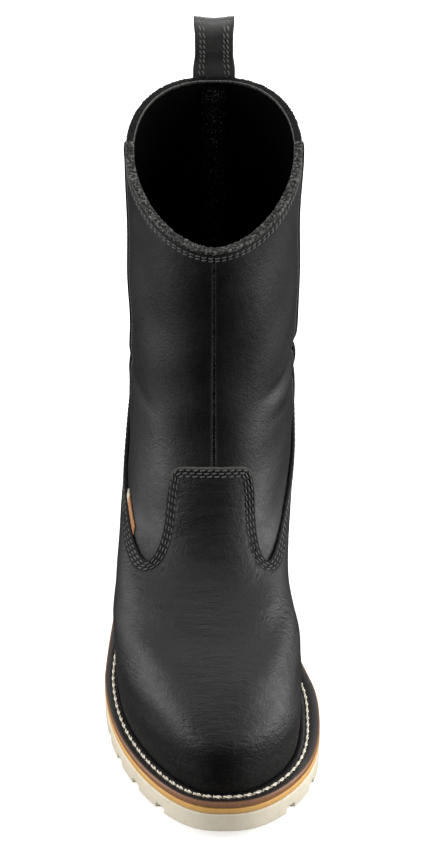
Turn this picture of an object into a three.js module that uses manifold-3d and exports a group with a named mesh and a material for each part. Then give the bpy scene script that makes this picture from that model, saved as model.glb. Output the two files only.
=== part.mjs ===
// Steel toe pull-on work boot for the right foot, in millimetres, +Z up.
// The toe points along -Y and the inner (medial) side of the foot is +X.
// Every layer of the upper follows one form: a fan of tilted sections that runs from the welt
// (level 0) round the toe, over the instep and up the shaft to the topline (level 8).
import * as THREE from 'three';
import { mergeVertices } from 'three/addons/utils/BufferGeometryUtils.js';
import Module from 'manifold-3d';

const wasm = await Module();
wasm.setup();

// ---- overall sizes ----
const soleLength = 306;
const backRimHeight = 285; // topline at the back, above the ground
const frontRimDrop = 22; // the topline's front is lower than its back
const shaftDepth = 128; // front to back at the topline
const shaftWidth = 90; // side to side at the topline
const rimBackInset = 23; // the topline's back, forward of the sole's heel end
const sidePeak = 9; // the topline rises this much at the side seams
const medialTaper = 12; // how much longer the instep's medial shoulder is than the lateral

// ---- sole ----
const ballLateral = 59.5; // half widths of the sole
const ballMedial = 55.8;
const waistLateral = 50;
const waistMedial = 40.5;
const heelLateral = 42;
const heelMedial = 41;
const toeSkew = 4.6; // the toe's tip lies towards the medial side
const toeCapLength = 82; // length of the sole's rounded front
const heelCapLength = 40; // length of the sole's rounded back
const outsoleThickness = 13;
const midsoleThickness = 3.8;
const weltThickness = 4.2;
const weltProud = 7.6; // welt showing round the forefoot
const weltProudHeel = 6.2;
const weltExtraMedial = 3.5; // more welt shows beside the medial ball
const toeSpring = 9;
const heelLift = 12;
const archHeight = 7;
const heelBreast = 62; // from the heel end to the heel's front face
const sideNotchWidth = 5.6;
const sideNotchDepth = 3.6;
const sideNotchHeight = 3.6;
const firstNotch = 17; // from the toe end
const treadPitch = 19;
const treadGroove = 4.5;
const treadDepth = 4.5;

// ---- leather and inner layers, from the inside out ----
const liningThickness = 1.8;
const leatherThickness = 2;
const overlayThickness = 2; // vamp, foxing, backstay and pull loop
const layerGap = 0.4; // between two layers that touch
const seamGap = 0.6; // between two edges that meet
const boardThickness = 2.2;
const ribWidth = 2.6;
const footbedThickness = 5;
const coverThickness = 1.2;
const footbedClearance = 2;
const shankLength = 104;
const shankWidth = 14;
const shankThickness = 1.4;
const rivetRadius = 2.2;
const threadRadius = 0.7;
const stitchInset = 5; // welt stitching, from the sole's edge
const stitchInsetHeel = 4.2;

// ---- pull loop and trim ----
const loopWidth = 21;
const loopHeight = 36; // above the topline
const loopDepth = 15; // front to back where the loop is widest
const loopLegDrop = 40; // the sewn legs, below the topline
const tapeWidth = 18;
const tapeThickness = 0.9;
const backstayWidth = 27;
const pipingWidth = 4;
const pipingThickness = 1.2;
const collarEdge = 2.2; // raw edge on top of the topline
const labelLength = 21;
const labelWidth = 3.8;
const labelThickness = 0.8;

// ---- places that follow from the sizes ----
const toeY = -soleLength / 2;
const heelY = soleLength / 2;
const rimBackY = heelY - rimBackInset;
const rimFrontY = rimBackY - shaftDepth;
const ballY = toeY + 100;
const skinOut = layerGap + overlayThickness; // outer face of the overlay layer
const liningOut = -leatherThickness - layerGap;
const liningIn = liningOut - liningThickness;
const tapeIn = liningIn - layerGap - tapeThickness;
const circle = 2 * Math.PI;
const degree = Math.PI / 180;

const mix = (a, b, share) => a + (b - a) * share;
const clamp01 = (value) => Math.min(1, Math.max(0, value));
const smooth = (value) => clamp01(value) ** 2 * (3 - 2 * clamp01(value));

// A smooth curve through points [place, value], straight beyond its ends.
function through(points, place) {
  const slope = (k) => {
    const a = points[Math.max(0, k - 1)];
    const b = points[Math.min(points.length - 1, k + 1)];
    return (b[1] - a[1]) / (b[0] - a[0]);
  };
  const last = points.length - 1;
  if (place <= points[0][0]) return points[0][1] + (place - points[0][0]) * slope(0);
  if (place >= points[last][0]) return points[last][1] + (place - points[last][0]) * slope(last);
  let k = 0;
  while (place > points[k + 1][0]) k += 1;
  const span = points[k + 1][0] - points[k][0];
  const u = (place - points[k][0]) / span;
  const start = points[k][1] + slope(k) * span * (u - 2 * u ** 2 + u ** 3);
  const ramp = (points[k + 1][1] - points[k][1]) * (3 * u ** 2 - 2 * u ** 3);
  return start + ramp + slope(k + 1) * span * (u ** 3 - u ** 2);
}

// ---- the sole's shape ----
const soleSides = {
  lateral: [[toeY, ballLateral - 19.5], [toeY + 50, ballLateral - 7], [toeY + 80, ballLateral - 1.4],
    [toeY + 105, ballLateral], [toeY + 150, mix(ballLateral, waistLateral, 0.42)],
    [toeY + 190, waistLateral], [heelY - 60, heelLateral], [heelY, heelLateral - 1]],
  medial: [[toeY, ballMedial - 10], [toeY + 34, ballMedial - 1.6], [toeY + 74, ballMedial],
    [toeY + 92, ballMedial - 1.5], [toeY + 118, mix(ballMedial, waistMedial, 0.6)],
    [toeY + 150, waistMedial + 1], [toeY + 185, waistMedial], [heelY - 62, heelMedial],
    [heelY, heelMedial - 1]],
};
const roundEnd = (s, power) => (s >= 1 ? 1 : (1 - (1 - clamp01(s)) ** power) ** (1 / power));
const centreX = (y) => toeSkew * clamp01((ballY - y) / (ballY - toeY)) ** 1.2;
const toeLift = (y) => toeSpring * clamp01((ballY - y) / (ballY - toeY)) ** 2;
const rearLift = (y) => heelLift * smooth((y - toeY - 105) / 115);
const outsoleTop = (y) => outsoleThickness + toeLift(y) + rearLift(y);
const midsoleBase = (y) => outsoleTop(y) + layerGap;
const midsoleTop = (y) => midsoleBase(y) + midsoleThickness;
const weltBase = (y) => midsoleTop(y) + layerGap;
const weltTop = (y) => weltBase(y) + weltThickness;
const rearShare = (y) => smooth((y - toeY - 110) / 90);
const medialExtra = (side, y) => (side === 'medial'
  ? weltExtraMedial * smooth((y - toeY - 20) / 50) * (1 - rearShare(y)) : 0);
const proud = (side, y) => mix(weltProud, weltProudHeel, rearShare(y)) + medialExtra(side, y);

// A point of the sole's outline at an angle from the toe (0) through the medial side, moved in.
function solePoint(angle, inset = 0) {
  const front = toeY + inset;
  const back = heelY - inset;
  const y = mix(front, back, (1 - Math.cos(angle)) / 2);
  const side = Math.sin(angle) >= 0 ? 'medial' : 'lateral';
  const width = through(soleSides[side], y) - inset;
  const ends = roundEnd((y - front) / (toeCapLength - inset / 2), 2.5)
    * roundEnd((back - y) / (heelCapLength - inset / 2), 2.3);
  return [centreX(y) + (side === 'medial' ? 1 : -1) * width * ends, y];
}

// ---- the upper's form ----
// Each key section: front point, back point (y, z), share of the foot's width against the
// shaft's, how far the foot draws in, shaft half widths, and the rounded lengths of its ends.
const frontZ = weltTop(toeY + 12);
const backZ = weltTop(heelY - 8);
const shaftFront = rimFrontY;
const ankleZ = 128;
const lowShaftZ = mix(ankleZ, backRimHeight, 0.42);
const keys = [
  { front: [toeY + 10.5, frontZ], back: [heelY - 9.5, backZ], foot: 1, trim: 0,
    lateral: 40, medial: 38, capFront: 72, capBack: 36 },
  { front: [toeY + 9.5, frontZ + 15], back: [heelY - 6.5, backZ + 13], foot: 1, trim: -1,
    lateral: 40, medial: 38, capFront: 72, capBack: 36 },
  { front: [toeY + 15, frontZ + 31], back: [heelY - 5.5, backZ + 27], foot: 1, trim: -1.5,
    lateral: 42, medial: 41, capFront: 72, capBack: 36 },
  { front: [toeY + 37, frontZ + 44], back: [heelY - 7.5, backZ + 42], foot: 0.85, trim: -2,
    lateral: 46, medial: 44, capFront: 72, capBack: 38 },
  { front: [toeY + 70, frontZ + 54], back: [heelY - 11.5, backZ + 58], foot: 0.6, trim: -2,
    lateral: 49, medial: 46, capFront: 72, capBack: 44 },
  { front: [mix(toeY + 70, shaftFront, 0.52), frontZ + 76], back: [heelY - 17.5, backZ + 76],
    foot: 0.3, trim: 0, lateral: 48.5, medial: 46, capFront: 70, capBack: 52 },
  { front: [shaftFront - 13, ankleZ + 24], back: [heelY - 25, ankleZ + 8], foot: 0.05, trim: 0,
    lateral: 45, medial: 42.8, capFront: 66, capBack: 62 },
  { front: [shaftFront - 3, lowShaftZ + 6], back: [heelY - 26.5, lowShaftZ], foot: 0, trim: 0,
    lateral: 44.8, medial: 44, capFront: 66, capBack: 64 },
  { front: [rimFrontY, backRimHeight - frontRimDrop], back: [rimBackY, backRimHeight], foot: 0,
    trim: 0, lateral: shaftWidth / 2, medial: shaftWidth / 2,
    capFront: shaftDepth / 2, capBack: shaftDepth / 2 },
];
const topLevel = keys.length - 1;
const keyed = (pick, level) => through(keys.map((key, k) => [k, pick(key)]), level);

// A point of the form at an angle from the front (0, medial side positive) and a level. Below
// level 0 the form goes straight down inside the welt.
function formPoint(angle, wanted) {
  const level = Math.max(0, wanted);
  const front = [keyed((k) => k.front[0], level), keyed((k) => k.front[1], level)];
  const back = [keyed((k) => k.back[0], level), keyed((k) => k.back[1], level)];
  const share = (1 - Math.cos(angle)) / 2;
  const y = mix(front[0], back[0], share);
  const along = clamp01((y - keys[0].front[0]) / (keys[0].back[0] - keys[0].front[0]));
  const ground = weltTop(y) - mix(frontZ, backZ, along);
  const peak = sidePeak * Math.abs(Math.sin(angle)) ** 1.5 * smooth((level - 6) / 2);
  const z = mix(front[1], back[1], share) + ground * (1 - smooth(level / 4)) + peak;
  const medial = Math.sin(angle) >= 0;
  const side = medial ? 'medial' : 'lateral';
  const foot = through(soleSides[side], y) - proud(side, y) - skinOut - keyed((k) => k.trim, level);
  const shaft = keyed((k) => k[side], level);
  const width = mix(shaft, foot, keyed((k) => k.foot, level));
  const taper = medial ? medialTaper * smooth(level / 3) * (1 - smooth((level - 4.5) / 2)) : 0;
  const power = mix(2.2, 2, smooth((level - 6) / 2));
  const ends = roundEnd((y - front[0]) / (keyed((k) => k.capFront, level) + taper), power)
    * roundEnd((back[0] - y) / keyed((k) => k.capBack, level), power);
  const x = centreX(y) + (medial ? 1 : -1) * width * ends;
  return new THREE.Vector3(x, y, z + Math.min(0, wanted) * weltThickness);
}

// The form's outward direction at a point.
function formNormal(angle, level) {
  const step = 0.02;
  const flatLevel = level <= 0.02;
  const round = formPoint(angle + step, level).sub(formPoint(angle - step, level));
  const rise = flatLevel ? new THREE.Vector3(0, 0, 1)
    : formPoint(angle, level + step).sub(formPoint(angle, level - step));
  return round.cross(rise).normalize();
}
const layerPoint = (angle, level, out) => (
  formPoint(angle, level).addScaledVector(formNormal(angle, level), out));

// The lines that every layer's facets share: fine round the toe and the heel.
const angleLines = [];
for (let k = -8; k <= 8; k += 1) angleLines.push(k * 8.25 * degree);
for (let k = 1; k <= 5; k += 1) angleLines.push((66 + k * 11) * degree);
for (let k = 1; k <= 10; k += 1) angleLines.push((121 + k * 11.8) * degree);
for (let k = 1; k <= 4; k += 1) angleLines.push((239 + k * 11) * degree);
const levelLines = [0];
for (let k = 1; k <= 10; k += 1) levelLines.push(k * 0.5);
for (let k = 1; k <= 3; k += 1) levelLines.push(5 + k);

// ---- closed bodies ----
function signedVolume(points, faces) {
  const total = faces.reduce((sum, [a, b, c]) => (
    sum + points[a].dot(new THREE.Vector3().crossVectors(points[b], points[c]))), 0);
  return total / 6;
}

// A BufferGeometry from points and triangles, with its faces turned outwards.
function body(points, faces) {
  const turned = signedVolume(points, faces) < 0;
  const geometry = new THREE.BufferGeometry();
  geometry.setAttribute('position', new THREE.Float32BufferAttribute(
    points.flatMap((p) => [p.x, p.y, p.z]), 3));
  geometry.setIndex(faces.flatMap(([a, b, c]) => (turned ? [a, c, b] : [a, b, c])));
  return geometry;
}

// A block of columns of points: each column is a closed loop, and neighbouring columns join.
function columnsBody(columns, closed) {
  const around = columns[0].length;
  const points = columns.flat();
  const faces = [];
  const quad = (a, b, c, d) => faces.push([a, b, c], [a, c, d]);
  const count = closed ? columns.length : columns.length - 1;
  const half = around / 2;
  for (let i = 0; i < count; i += 1) {
    const next = ((i + 1) % columns.length) * around;
    for (let j = 0; j < around; j += 1) {
      const up = (j + 1) % around;
      const corners = [i * around + j, next + j, next + up, i * around + up];
      // The inner face leans its diagonals the same way as the outer face it lies on.
      if (j < half) quad(...corners);
      else quad(...corners.slice(1), corners[0]);
    }
  }
  if (!closed) {
    const end = (columns.length - 1) * around;
    for (let j = 0; j < half - 1; j += 1) {
      const far = around - 1 - j;
      quad(j, j + 1, far - 1, far);
      quad(end + j, end + far, end + far - 1, end + j + 1);
    }
  }
  return body(points, faces);
}

function sheetColumns(angles, levels, inner, outer) {
  return angles.map((angle) => {
    const heights = levels(angle);
    return [...heights.map((level) => layerPoint(angle, level, outer)),
      ...heights.reverse().map((level) => layerPoint(angle, level, inner))];
  });
}

// A whole layer of the upper, all the way round, between two levels.
function shell(inner, outer, low, high) {
  const between = levelLines.filter((level) => level > low + 0.08 && level < high - 0.08);
  const levels = [low, ...between, high];
  return columnsBody(sheetColumns(angleLines, () => [...levels], inner, outer), true);
}

const patchStep = 8 * degree;

// The block of space over a patch of the upper, which cuts that patch out of a layer.
function patch({ from, to, low, high, breaks = [], inner = liningIn - 1 }) {
  const rows = 8;
  const outer = skinOut + 1;
  const levelAt = (edge, angle) => (typeof edge === 'function' ? edge(angle) : edge);
  const angles = [from, ...breaks, to];
  const first = Math.ceil(from / patchStep + 0.1);
  for (let k = first; (k + 0.1) * patchStep < to; k += 1) angles.push(k * patchStep);
  angles.sort((a, b) => a - b);
  const levels = (angle) => Array.from({ length: rows + 1 }, (_, j) => (
    mix(levelAt(low, angle), levelAt(high, angle), j / rows)));
  return columnsBody(sheetColumns(angles, levels, inner, outer), false);
}

// A patch of a layer.
function cutPanel(layer, place) {
  return fromSolid(solid(layer).intersect(solid(patch(place))));
}

// A narrow strip laid over the upper, in its own facets.
function strip({ middle, half, low, high, inner, outer }) {
  const angles = [-1, -0.5, 0, 0.5, 1].map((share) => middle + share * half);
  const between = levelLines.filter((level) => level > low && level < high);
  const levels = () => [low, ...between, high];
  return columnsBody(sheetColumns(angles, levels, inner, outer), false);
}

// A ring round the sole: its section is a list of functions angle -> point.
function soleRing(section) {
  return columnsBody(angleLines.map((angle) => section.map((corner) => corner(angle))), true);
}

// A plate across the sole between two heights that depend on y.
function plate(outline, top, base) {
  const stations = angleLines.filter((angle) => angle >= 0 && angle < Math.PI - 0.01);
  stations.push(Math.PI);
  const points = [];
  const rows = stations.map((angle) => {
    const right = outline(angle);
    const left = outline(-angle);
    const single = Math.abs(right[0] - left[0]) < 0.01;
    const row = { single, first: points.length };
    (single ? [right] : [left, right]).forEach(([x, y]) => {
      points.push(new THREE.Vector3(x, y, base(y)), new THREE.Vector3(x, y, top(y)));
    });
    return row;
  });
  const faces = [];
  const quad = (a, b, c, d) => faces.push([a, b, c], [a, c, d]);
  const corners = ({ single, first }) => [first, first + 1, single ? first : first + 2,
    single ? first + 1 : first + 3];
  rows.slice(1).forEach((row, k) => {
    const [lowL, topL, lowR, topR] = corners(rows[k]);
    const [nextLowL, nextTopL, nextLowR, nextTopR] = corners(row);
    quad(lowL, nextLowL, nextTopL, topL);
    quad(lowR, topR, nextTopR, nextLowR);
    quad(topL, nextTopL, nextTopR, topR);
    quad(lowL, lowR, nextLowR, nextLowL);
  });
  const [lowL, topL, lowR, topR] = corners(rows[0]);
  if (!rows[0].single) quad(lowL, topL, topR, lowR);
  const [endLowL, endTopL, endLowR, endTopR] = corners(rows.at(-1));
  if (!rows.at(-1).single) quad(endLowL, endLowR, endTopR, endTopL);
  return body(points, faces.filter(([a, b, c]) => a !== b && b !== c && c !== a));
}

function solid(geometry) {
  const plain = geometry.clone();
  plain.deleteAttribute('normal');
  plain.deleteAttribute('uv');
  const merged = mergeVertices(plain, 1e-4);
  return new wasm.Manifold(new wasm.Mesh({
    numProp: 3,
    vertProperties: merged.attributes.position.array,
    triVerts: new Uint32Array(merged.index.array),
  }));
}

function fromSolid(cut) {
  const mesh = cut.getMesh();
  const geometry = new THREE.BufferGeometry();
  geometry.setAttribute('position', new THREE.BufferAttribute(mesh.vertProperties, 3));
  geometry.setIndex(new THREE.BufferAttribute(mesh.triVerts, 1));
  return geometry;
}
const cutFrom = (geometry, cutters) => fromSolid(
  cutters.reduce((left, cutter) => left.subtract(solid(cutter)), solid(geometry)));

const boxAt = (width, depth, height, x, y, z) => (
  new THREE.BoxGeometry(width, depth, height).translate(x, y, z));

// ---- bottom ----
const outline = (inset) => (angle) => solePoint(angle, inset);
const upperOutline = (out) => (angle) => {
  const p = layerPoint(angle, 0, out);
  return [p.x, p.y];
};

function makeOutsole() {
  const bottom = (y) => toeLift(y);
  const cutters = [];
  const breastY = heelY - heelBreast;
  const archFront = toeY + 138;
  cutters.push(boxAt(140, breastY - archFront, archHeight * 2, 0, (breastY + archFront) / 2, 0));
  const notchPlaces = [];
  for (let y = toeY + firstNotch; y < archFront - 8; y += treadPitch) notchPlaces.push(y);
  for (let y = breastY + 20; y < heelY - 12; y += treadPitch) notchPlaces.push(y);
  notchPlaces.forEach((y) => {
    const z = toeLift(y);
    ['medial', 'lateral'].forEach((side) => {
      const sign = side === 'medial' ? 1 : -1;
      const front = roundEnd((y - toeY) / toeCapLength, 2.5);
      const edge = centreX(y) + sign * through(soleSides[side], y) * front
        * roundEnd((heelY - y) / heelCapLength, 2.3);
      const lean = y < toeY + 70 ? sign * (1.1 - (y - toeY) / 64) : 0;
      cutters.push(new THREE.BoxGeometry(sideNotchDepth * 2, sideNotchWidth, sideNotchHeight * 2)
        .rotateZ(-lean).translate(edge, y, z));
    });
    cutters.push(boxAt(48, treadGroove, treadDepth * 2, centreX(y), y, z));
  });
  return cutFrom(plate(outline(0), outsoleTop, bottom), cutters);
}

// A corner of the welt or its thread, measured in from the sole's edge.
function inFromEdge(inset, height) {
  return (angle) => {
    const [x, y] = solePoint(angle, typeof inset === 'function' ? inset(angle) : inset);
    return new THREE.Vector3(x, y, height(y));
  };
}

// The stitching lies closer to the upper where more of the welt shows.
const stitchPlace = (away) => (angle) => {
  const [, y] = solePoint(angle);
  const side = Math.sin(angle) >= 0 ? 'medial' : 'lateral';
  return mix(stitchInset, stitchInsetHeel, rearShare(y)) + medialExtra(side, y) / 2 + away;
};

function makeWelt() {
  const inner = (height) => (angle) => {
    const [x, y] = upperOutline(skinOut + layerGap)(angle);
    return new THREE.Vector3(x, y, height(y));
  };
  const groove = threadRadius + layerGap;
  const floor = (y) => weltTop(y) - threadRadius - layerGap;
  return soleRing([
    inFromEdge(0.4, weltBase),
    inFromEdge(0.4, weltTop),
    inFromEdge(stitchPlace(-groove), weltTop),
    inFromEdge(stitchPlace(-groove), floor),
    inFromEdge(stitchPlace(groove), floor),
    inner(floor),
    inner(weltBase),
  ]);
}

function makeWeltThread() {
  const corner = (k) => {
    const turn = k * 60 * degree;
    return inFromEdge(stitchPlace(threadRadius * Math.cos(turn)),
      (y) => weltTop(y) + threadRadius * Math.sin(turn));
  };
  return soleRing([0, 1, 2, 3, 4, 5].map(corner));
}

const ribOuter = -1;
const boardBase = (y) => weltTop(y) + 0.5;
const boardTop = (y) => boardBase(y) + boardThickness;
const upperLow = (boardThickness + 0.5 + layerGap) / 15; // level that clears the board
const shankY = toeY + 176;
const rivetPlaces = { front: shankY - shankLength / 2 + 9, rear: shankY + shankLength / 2 - 9 };
const fillerTop = (y) => boardBase(y) - layerGap;

function makeShank(grow = 0) {
  const half = shankLength / 2 + grow;
  const outlineAt = (angle) => {
    const y = shankY - half * Math.cos(angle);
    const end = roundEnd((half - Math.abs(y - shankY)) / (shankWidth / 2), 2);
    return [Math.sign(Math.sin(angle)) * (shankWidth / 2 + grow) * end, y];
  };
  const top = (y) => fillerTop(y) + (grow > 0 ? 5 : 0);
  const base = (y) => fillerTop(y) - shankThickness - grow;
  return plate(outlineAt, top, base);
}

function rivet(y, radius, reach) {
  const base = fillerTop(y) + layerGap * 2;
  const height = boardTop(y) - base;
  return new THREE.CylinderGeometry(radius, radius, height + reach * 2, 12)
    .rotateX(Math.PI / 2).translate(0, y, base + height / 2);
}

function makeInsoleBoard() {
  const board = plate(upperOutline(-0.3), boardTop, boardBase);
  return cutFrom(board, Object.values(rivetPlaces).map((y) => rivet(y, rivetRadius + 0.4, 6)));
}

function makeFiller() {
  const filler = plate(upperOutline(ribOuter - ribWidth - layerGap), fillerTop, weltBase);
  return cutFrom(filler, [makeShank(layerGap)]);
}

function makeInsoleRib() {
  const corner = (out, height) => (angle) => {
    const [x, y] = upperOutline(out)(angle);
    return new THREE.Vector3(x, y, height(y));
  };
  return soleRing([corner(ribOuter, weltBase), corner(ribOuter, fillerTop),
    corner(ribOuter - ribWidth, fillerTop), corner(ribOuter - ribWidth, weltBase)]);
}

const footbedBase = (y) => boardTop(y) + layerGap;
const footbedTop = (y) => footbedBase(y) + footbedThickness;
const coverBase = (y) => footbedTop(y) + layerGap;
const footbedOutline = upperOutline(liningIn - footbedClearance);

// ---- upper ----
const sideSeam = 94 * degree; // between the shaft's front and back panels
const wingSeam = 121 * degree; // between the vamp and the heel foxing
const tongueLevel = 5.73;
const tongueTurn = 20; // degrees from the front where the tongue's top starts to round down
const scallopLevel = 4.57;
const scallopTurn = 35; // degrees to the lowest point of the scallop beside the tongue
const foxingLevel = 5.25;
const overlap = 0.45; // levels that the shaft runs down under the vamp and foxing
const shaftLow = scallopLevel - overlap;
const capHalf = 82 * degree; // the steel cap reaches back to this angle on each side
const counterStart = 113 * degree;
const counterTop = 3.3;
const labelAngle = -(scallopTurn + 19.5) * degree;
const liningJoin = 5;
const edgeGap = 0.05; // levels between two edges that meet
const seamTurn = seamGap / 2 / 46; // half a seam's gap as an angle
const beyond = 1.2; // how far a patch runs past the end of its layer, in levels

// The vamp's top edge: a tongue in the middle, a scallop down on each side, then the wing.
const vampEdge = [[0, tongueLevel + 0.03], [tongueTurn, tongueLevel], [tongueTurn + 4, tongueLevel - 0.1],
  [tongueTurn + 5, tongueLevel - 0.6], [mix(tongueTurn + 5, scallopTurn, 0.38), scallopLevel + 0.21],
  [scallopTurn, scallopLevel], [scallopTurn + 10, scallopLevel + 0.05],
  [scallopTurn + 25, mix(scallopLevel, foxingLevel, 0.45)], [sideSeam / degree, foxingLevel],
  [sideSeam / degree + 20, foxingLevel]];
const vampTop = (angle) => through(vampEdge, Math.abs(angle) / degree);
const vampBreaks = [-1, 1].flatMap((sign) => (
  [tongueTurn, tongueTurn + 4, tongueTurn + 5].map((turn) => sign * (turn + 0.1) * degree)));
const capRear = (angle) => mix(3.35, 1.4, smooth((Math.abs(angle) / degree - 20) / 62));
const padRear = (angle) => capRear(angle) + 0.22;
const doublerLow = (angle) => (Math.abs(angle) < capHalf ? padRear(angle) + edgeGap : 0);
const doublerHigh = (angle) => (
  Math.abs(angle) < sideSeam - seamTurn / 2 ? shaftLow - edgeGap : counterTop);

const overlay = shell(layerGap, skinOut, -0.92, topLevel);
const middle = shell(-leatherThickness, 0, upperLow, topLevel);
const capSpan = { from: -capHalf + seamTurn, to: capHalf - seamTurn };

const frontPanel = (from, to) => cutPanel(middle, {
  from, to, low: shaftLow, high: topLevel + beyond });
const backPanel = (from, to) => cutPanel(middle, {
  from, to, low: counterTop + edgeGap, high: topLevel + beyond });

const doublerEnd = counterStart - seamTurn * 2;
function makeDoubler() {
  const breaks = [-1, 1].flatMap((sign) => [sideSeam - seamTurn, sideSeam - seamTurn / 3,
    capHalf - seamTurn / 3, capHalf + seamTurn].map((angle) => sign * angle));
  return cutPanel(middle, { from: -doublerEnd, to: doublerEnd, low: doublerLow,
    high: doublerHigh, breaks });
}

const collar = (from, to) => {
  const low = 0.4;
  const columns = [];
  const count = 16;
  for (let k = 0; k <= count; k += 1) {
    const angle = mix(from, to, k / count);
    const lift = (out, height) => layerPoint(angle, topLevel, out)
      .add(new THREE.Vector3(0, 0, height));
    columns.push([lift(0.3, low), lift(0.3, low + collarEdge),
      lift(liningIn - 0.2, low + collarEdge), lift(liningIn - 0.2, low)]);
  }
  return columnsBody(columns, false);
};

// ---- pull loop ----
const foldZ = backRimHeight + 3.5;
const loopTopZ = backRimHeight + loopHeight;
const innerLeg = skinOut + layerGap; // the two legs lie one over the other on the backstay
const outerLeg = innerLeg + overlayThickness + layerGap;
const loopY = rimBackY + outerLeg - layerGap / 2;

function makePullLoop() {
  const base = foldZ + 1;
  const half = loopDepth / 2;
  const waist = overlayThickness + 0.3;
  const bulge = (z) => mix(waist, half, smooth((z - base) / 16));
  const crownZ = loopTopZ - half;
  const sideZ = [base, base + 5, base + 10, base + 16, crownZ];
  const outer = new THREE.Shape();
  outer.moveTo(-bulge(base), base);
  outer.lineTo(bulge(base), base);
  sideZ.slice(1).forEach((z) => outer.lineTo(bulge(z), z));
  outer.absarc(0, crownZ, half, 0, Math.PI, false);
  sideZ.slice(1, -1).reverse().forEach((z) => outer.lineTo(-bulge(z), z));
  const gap = new THREE.Path();
  const inside = half - overlayThickness;
  gap.absarc(0, crownZ, inside, 0, Math.PI, false);
  const lowGap = base + 9;
  gap.lineTo(-inside, base + 16);
  gap.lineTo(-(bulge(base + 10) - overlayThickness), base + 10);
  gap.lineTo(0, lowGap - 3);
  gap.lineTo(bulge(base + 10) - overlayThickness, base + 10);
  gap.lineTo(inside, base + 16);
  outer.holes.push(gap);
  return new THREE.ExtrudeGeometry(outer, { depth: loopWidth, bevelEnabled: false,
    curveSegments: 8 })
    .rotateX(Math.PI / 2).rotateZ(Math.PI / 2).translate(-loopWidth / 2, loopY, 0);
}

// A leg of the pull loop's strap, sewn down the outside of the back.
function strapLeg(inner, shorter) {
  const drop = (loopLegDrop - shorter) / (backRimHeight - lowShaftZ);
  return strip({ middle: Math.PI, half: loopWidth / 2 / 52, low: topLevel - drop,
    high: topLevel, inner, outer: inner + overlayThickness });
}

// The label is sewn in under the lateral wing's edge and stands up past it.
function makeLabel() {
  const turn = labelLength / 2 / 94;
  const low = (angle) => vampTop(angle) + edgeGap;
  return cutPanel(shell(layerGap, layerGap + labelThickness, scallopLevel - 1, foxingLevel + 1), {
    from: labelAngle - turn, to: labelAngle + turn, low,
    high: (angle) => low(angle) + labelWidth / 26 });
}

// ---- assembly ----
const boot = new THREE.Group();
const colours = {
  leather: [0x3a3936, 0.62, 0],
  vampLeather: [0x2f2e2c, 0.58, 0],
  lining: [0x141414, 0.95, 0],
  welt: [0x3b2a22, 0.55, 0],
  thread: [0xe4dac6, 0.8, 0],
  midsole: [0xc3964b, 0.6, 0],
  outsole: [0xcdc3aa, 0.75, 0],
  steel: [0x9a9da0, 0.35, 1],
  board: [0xa98a62, 0.9, 0],
  cork: [0x8a6a48, 0.95, 0],
  foam: [0x2c3b4a, 0.9, 0],
  label: [0xb5752e, 0.8, 0],
};
function add(name, colour, geometry) {
  const [color, roughness, metalness] = colours[colour];
  const mesh = new THREE.Mesh(geometry,
    new THREE.MeshStandardMaterial({ color, roughness, metalness }));
  mesh.name = name;
  boot.add(mesh);
}

add('outsole', 'outsole', makeOutsole());
add('midsole', 'midsole', plate(outline(0.2), midsoleTop, midsoleBase));
add('welt', 'welt', makeWelt());
add('welt_thread', 'thread', makeWeltThread());
add('insole_rib', 'board', makeInsoleRib());
add('cork_filler', 'cork', makeFiller());
add('steel_shank', 'steel', makeShank());
Object.entries(rivetPlaces).forEach(([place, y]) => (
  add(`shank_rivet_${place}`, 'steel', rivet(y, rivetRadius, 0))));
add('insole_board', 'board', makeInsoleBoard());
add('footbed', 'foam', plate(footbedOutline, footbedTop, footbedBase));
add('footbed_cover', 'lining', plate(footbedOutline, (y) => coverBase(y) + coverThickness, coverBase));

add('foot_lining', 'lining', shell(liningIn, liningOut, upperLow, liningJoin - edgeGap / 2));
add('shaft_lining', 'lining', shell(liningIn, liningOut, liningJoin + edgeGap / 2, topLevel));
add('steel_toe_cap', 'steel', cutPanel(middle, { ...capSpan, low: 0, high: capRear }));
add('toe_cap_edge_pad', 'foam', cutPanel(middle, {
  ...capSpan, low: (angle) => capRear(angle) + edgeGap, high: padRear }));
add('vamp_doubler', 'leather', makeDoubler());
add('heel_counter', 'board', cutPanel(middle, {
  from: counterStart, to: circle - counterStart, low: 0, high: counterTop }));
add('vamp', 'vampLeather', cutPanel(overlay, {
  from: -wingSeam + seamTurn, to: wingSeam - seamTurn, low: -beyond, high: vampTop,
  breaks: vampBreaks }));
add('heel_foxing', 'vampLeather', cutPanel(overlay, {
  from: wingSeam + seamTurn, to: circle - wingSeam - seamTurn, low: -beyond, high: foxingLevel }));
add('shaft_front_medial', 'leather', frontPanel(seamTurn, sideSeam - seamTurn));
add('shaft_front_lateral', 'leather', frontPanel(-sideSeam + seamTurn, -seamTurn));
add('shaft_back_medial', 'leather', backPanel(sideSeam + seamTurn, Math.PI - seamTurn));
add('shaft_back_lateral', 'leather', backPanel(Math.PI + seamTurn, circle - sideSeam - seamTurn));
const staySpan = backstayWidth / 2 / 44;
add('backstay', 'leather', cutPanel(overlay, { from: Math.PI - staySpan, to: Math.PI + staySpan,
  low: foxingLevel + edgeGap, high: topLevel + beyond }));
const tapeSpan = tapeWidth / 2 / 40;
const tapeLayer = shell(tapeIn, tapeIn + tapeThickness, liningJoin - 1.4, topLevel - edgeGap);
add('back_seam_tape', 'lining', cutPanel(tapeLayer, { from: Math.PI - tapeSpan,
  to: Math.PI + tapeSpan, low: liningJoin - 2, high: topLevel + beyond, inner: tapeIn - 1.5 }));
[['medial', 1], ['lateral', -1]].forEach(([side, sign]) => {
  add(`side_piping_${side}`, 'leather', strip({ middle: sign * sideSeam,
    half: pipingWidth / 2 / 47, low: foxingLevel + edgeGap, high: topLevel, inner: layerGap,
    outer: layerGap + pipingThickness }));
});
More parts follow.
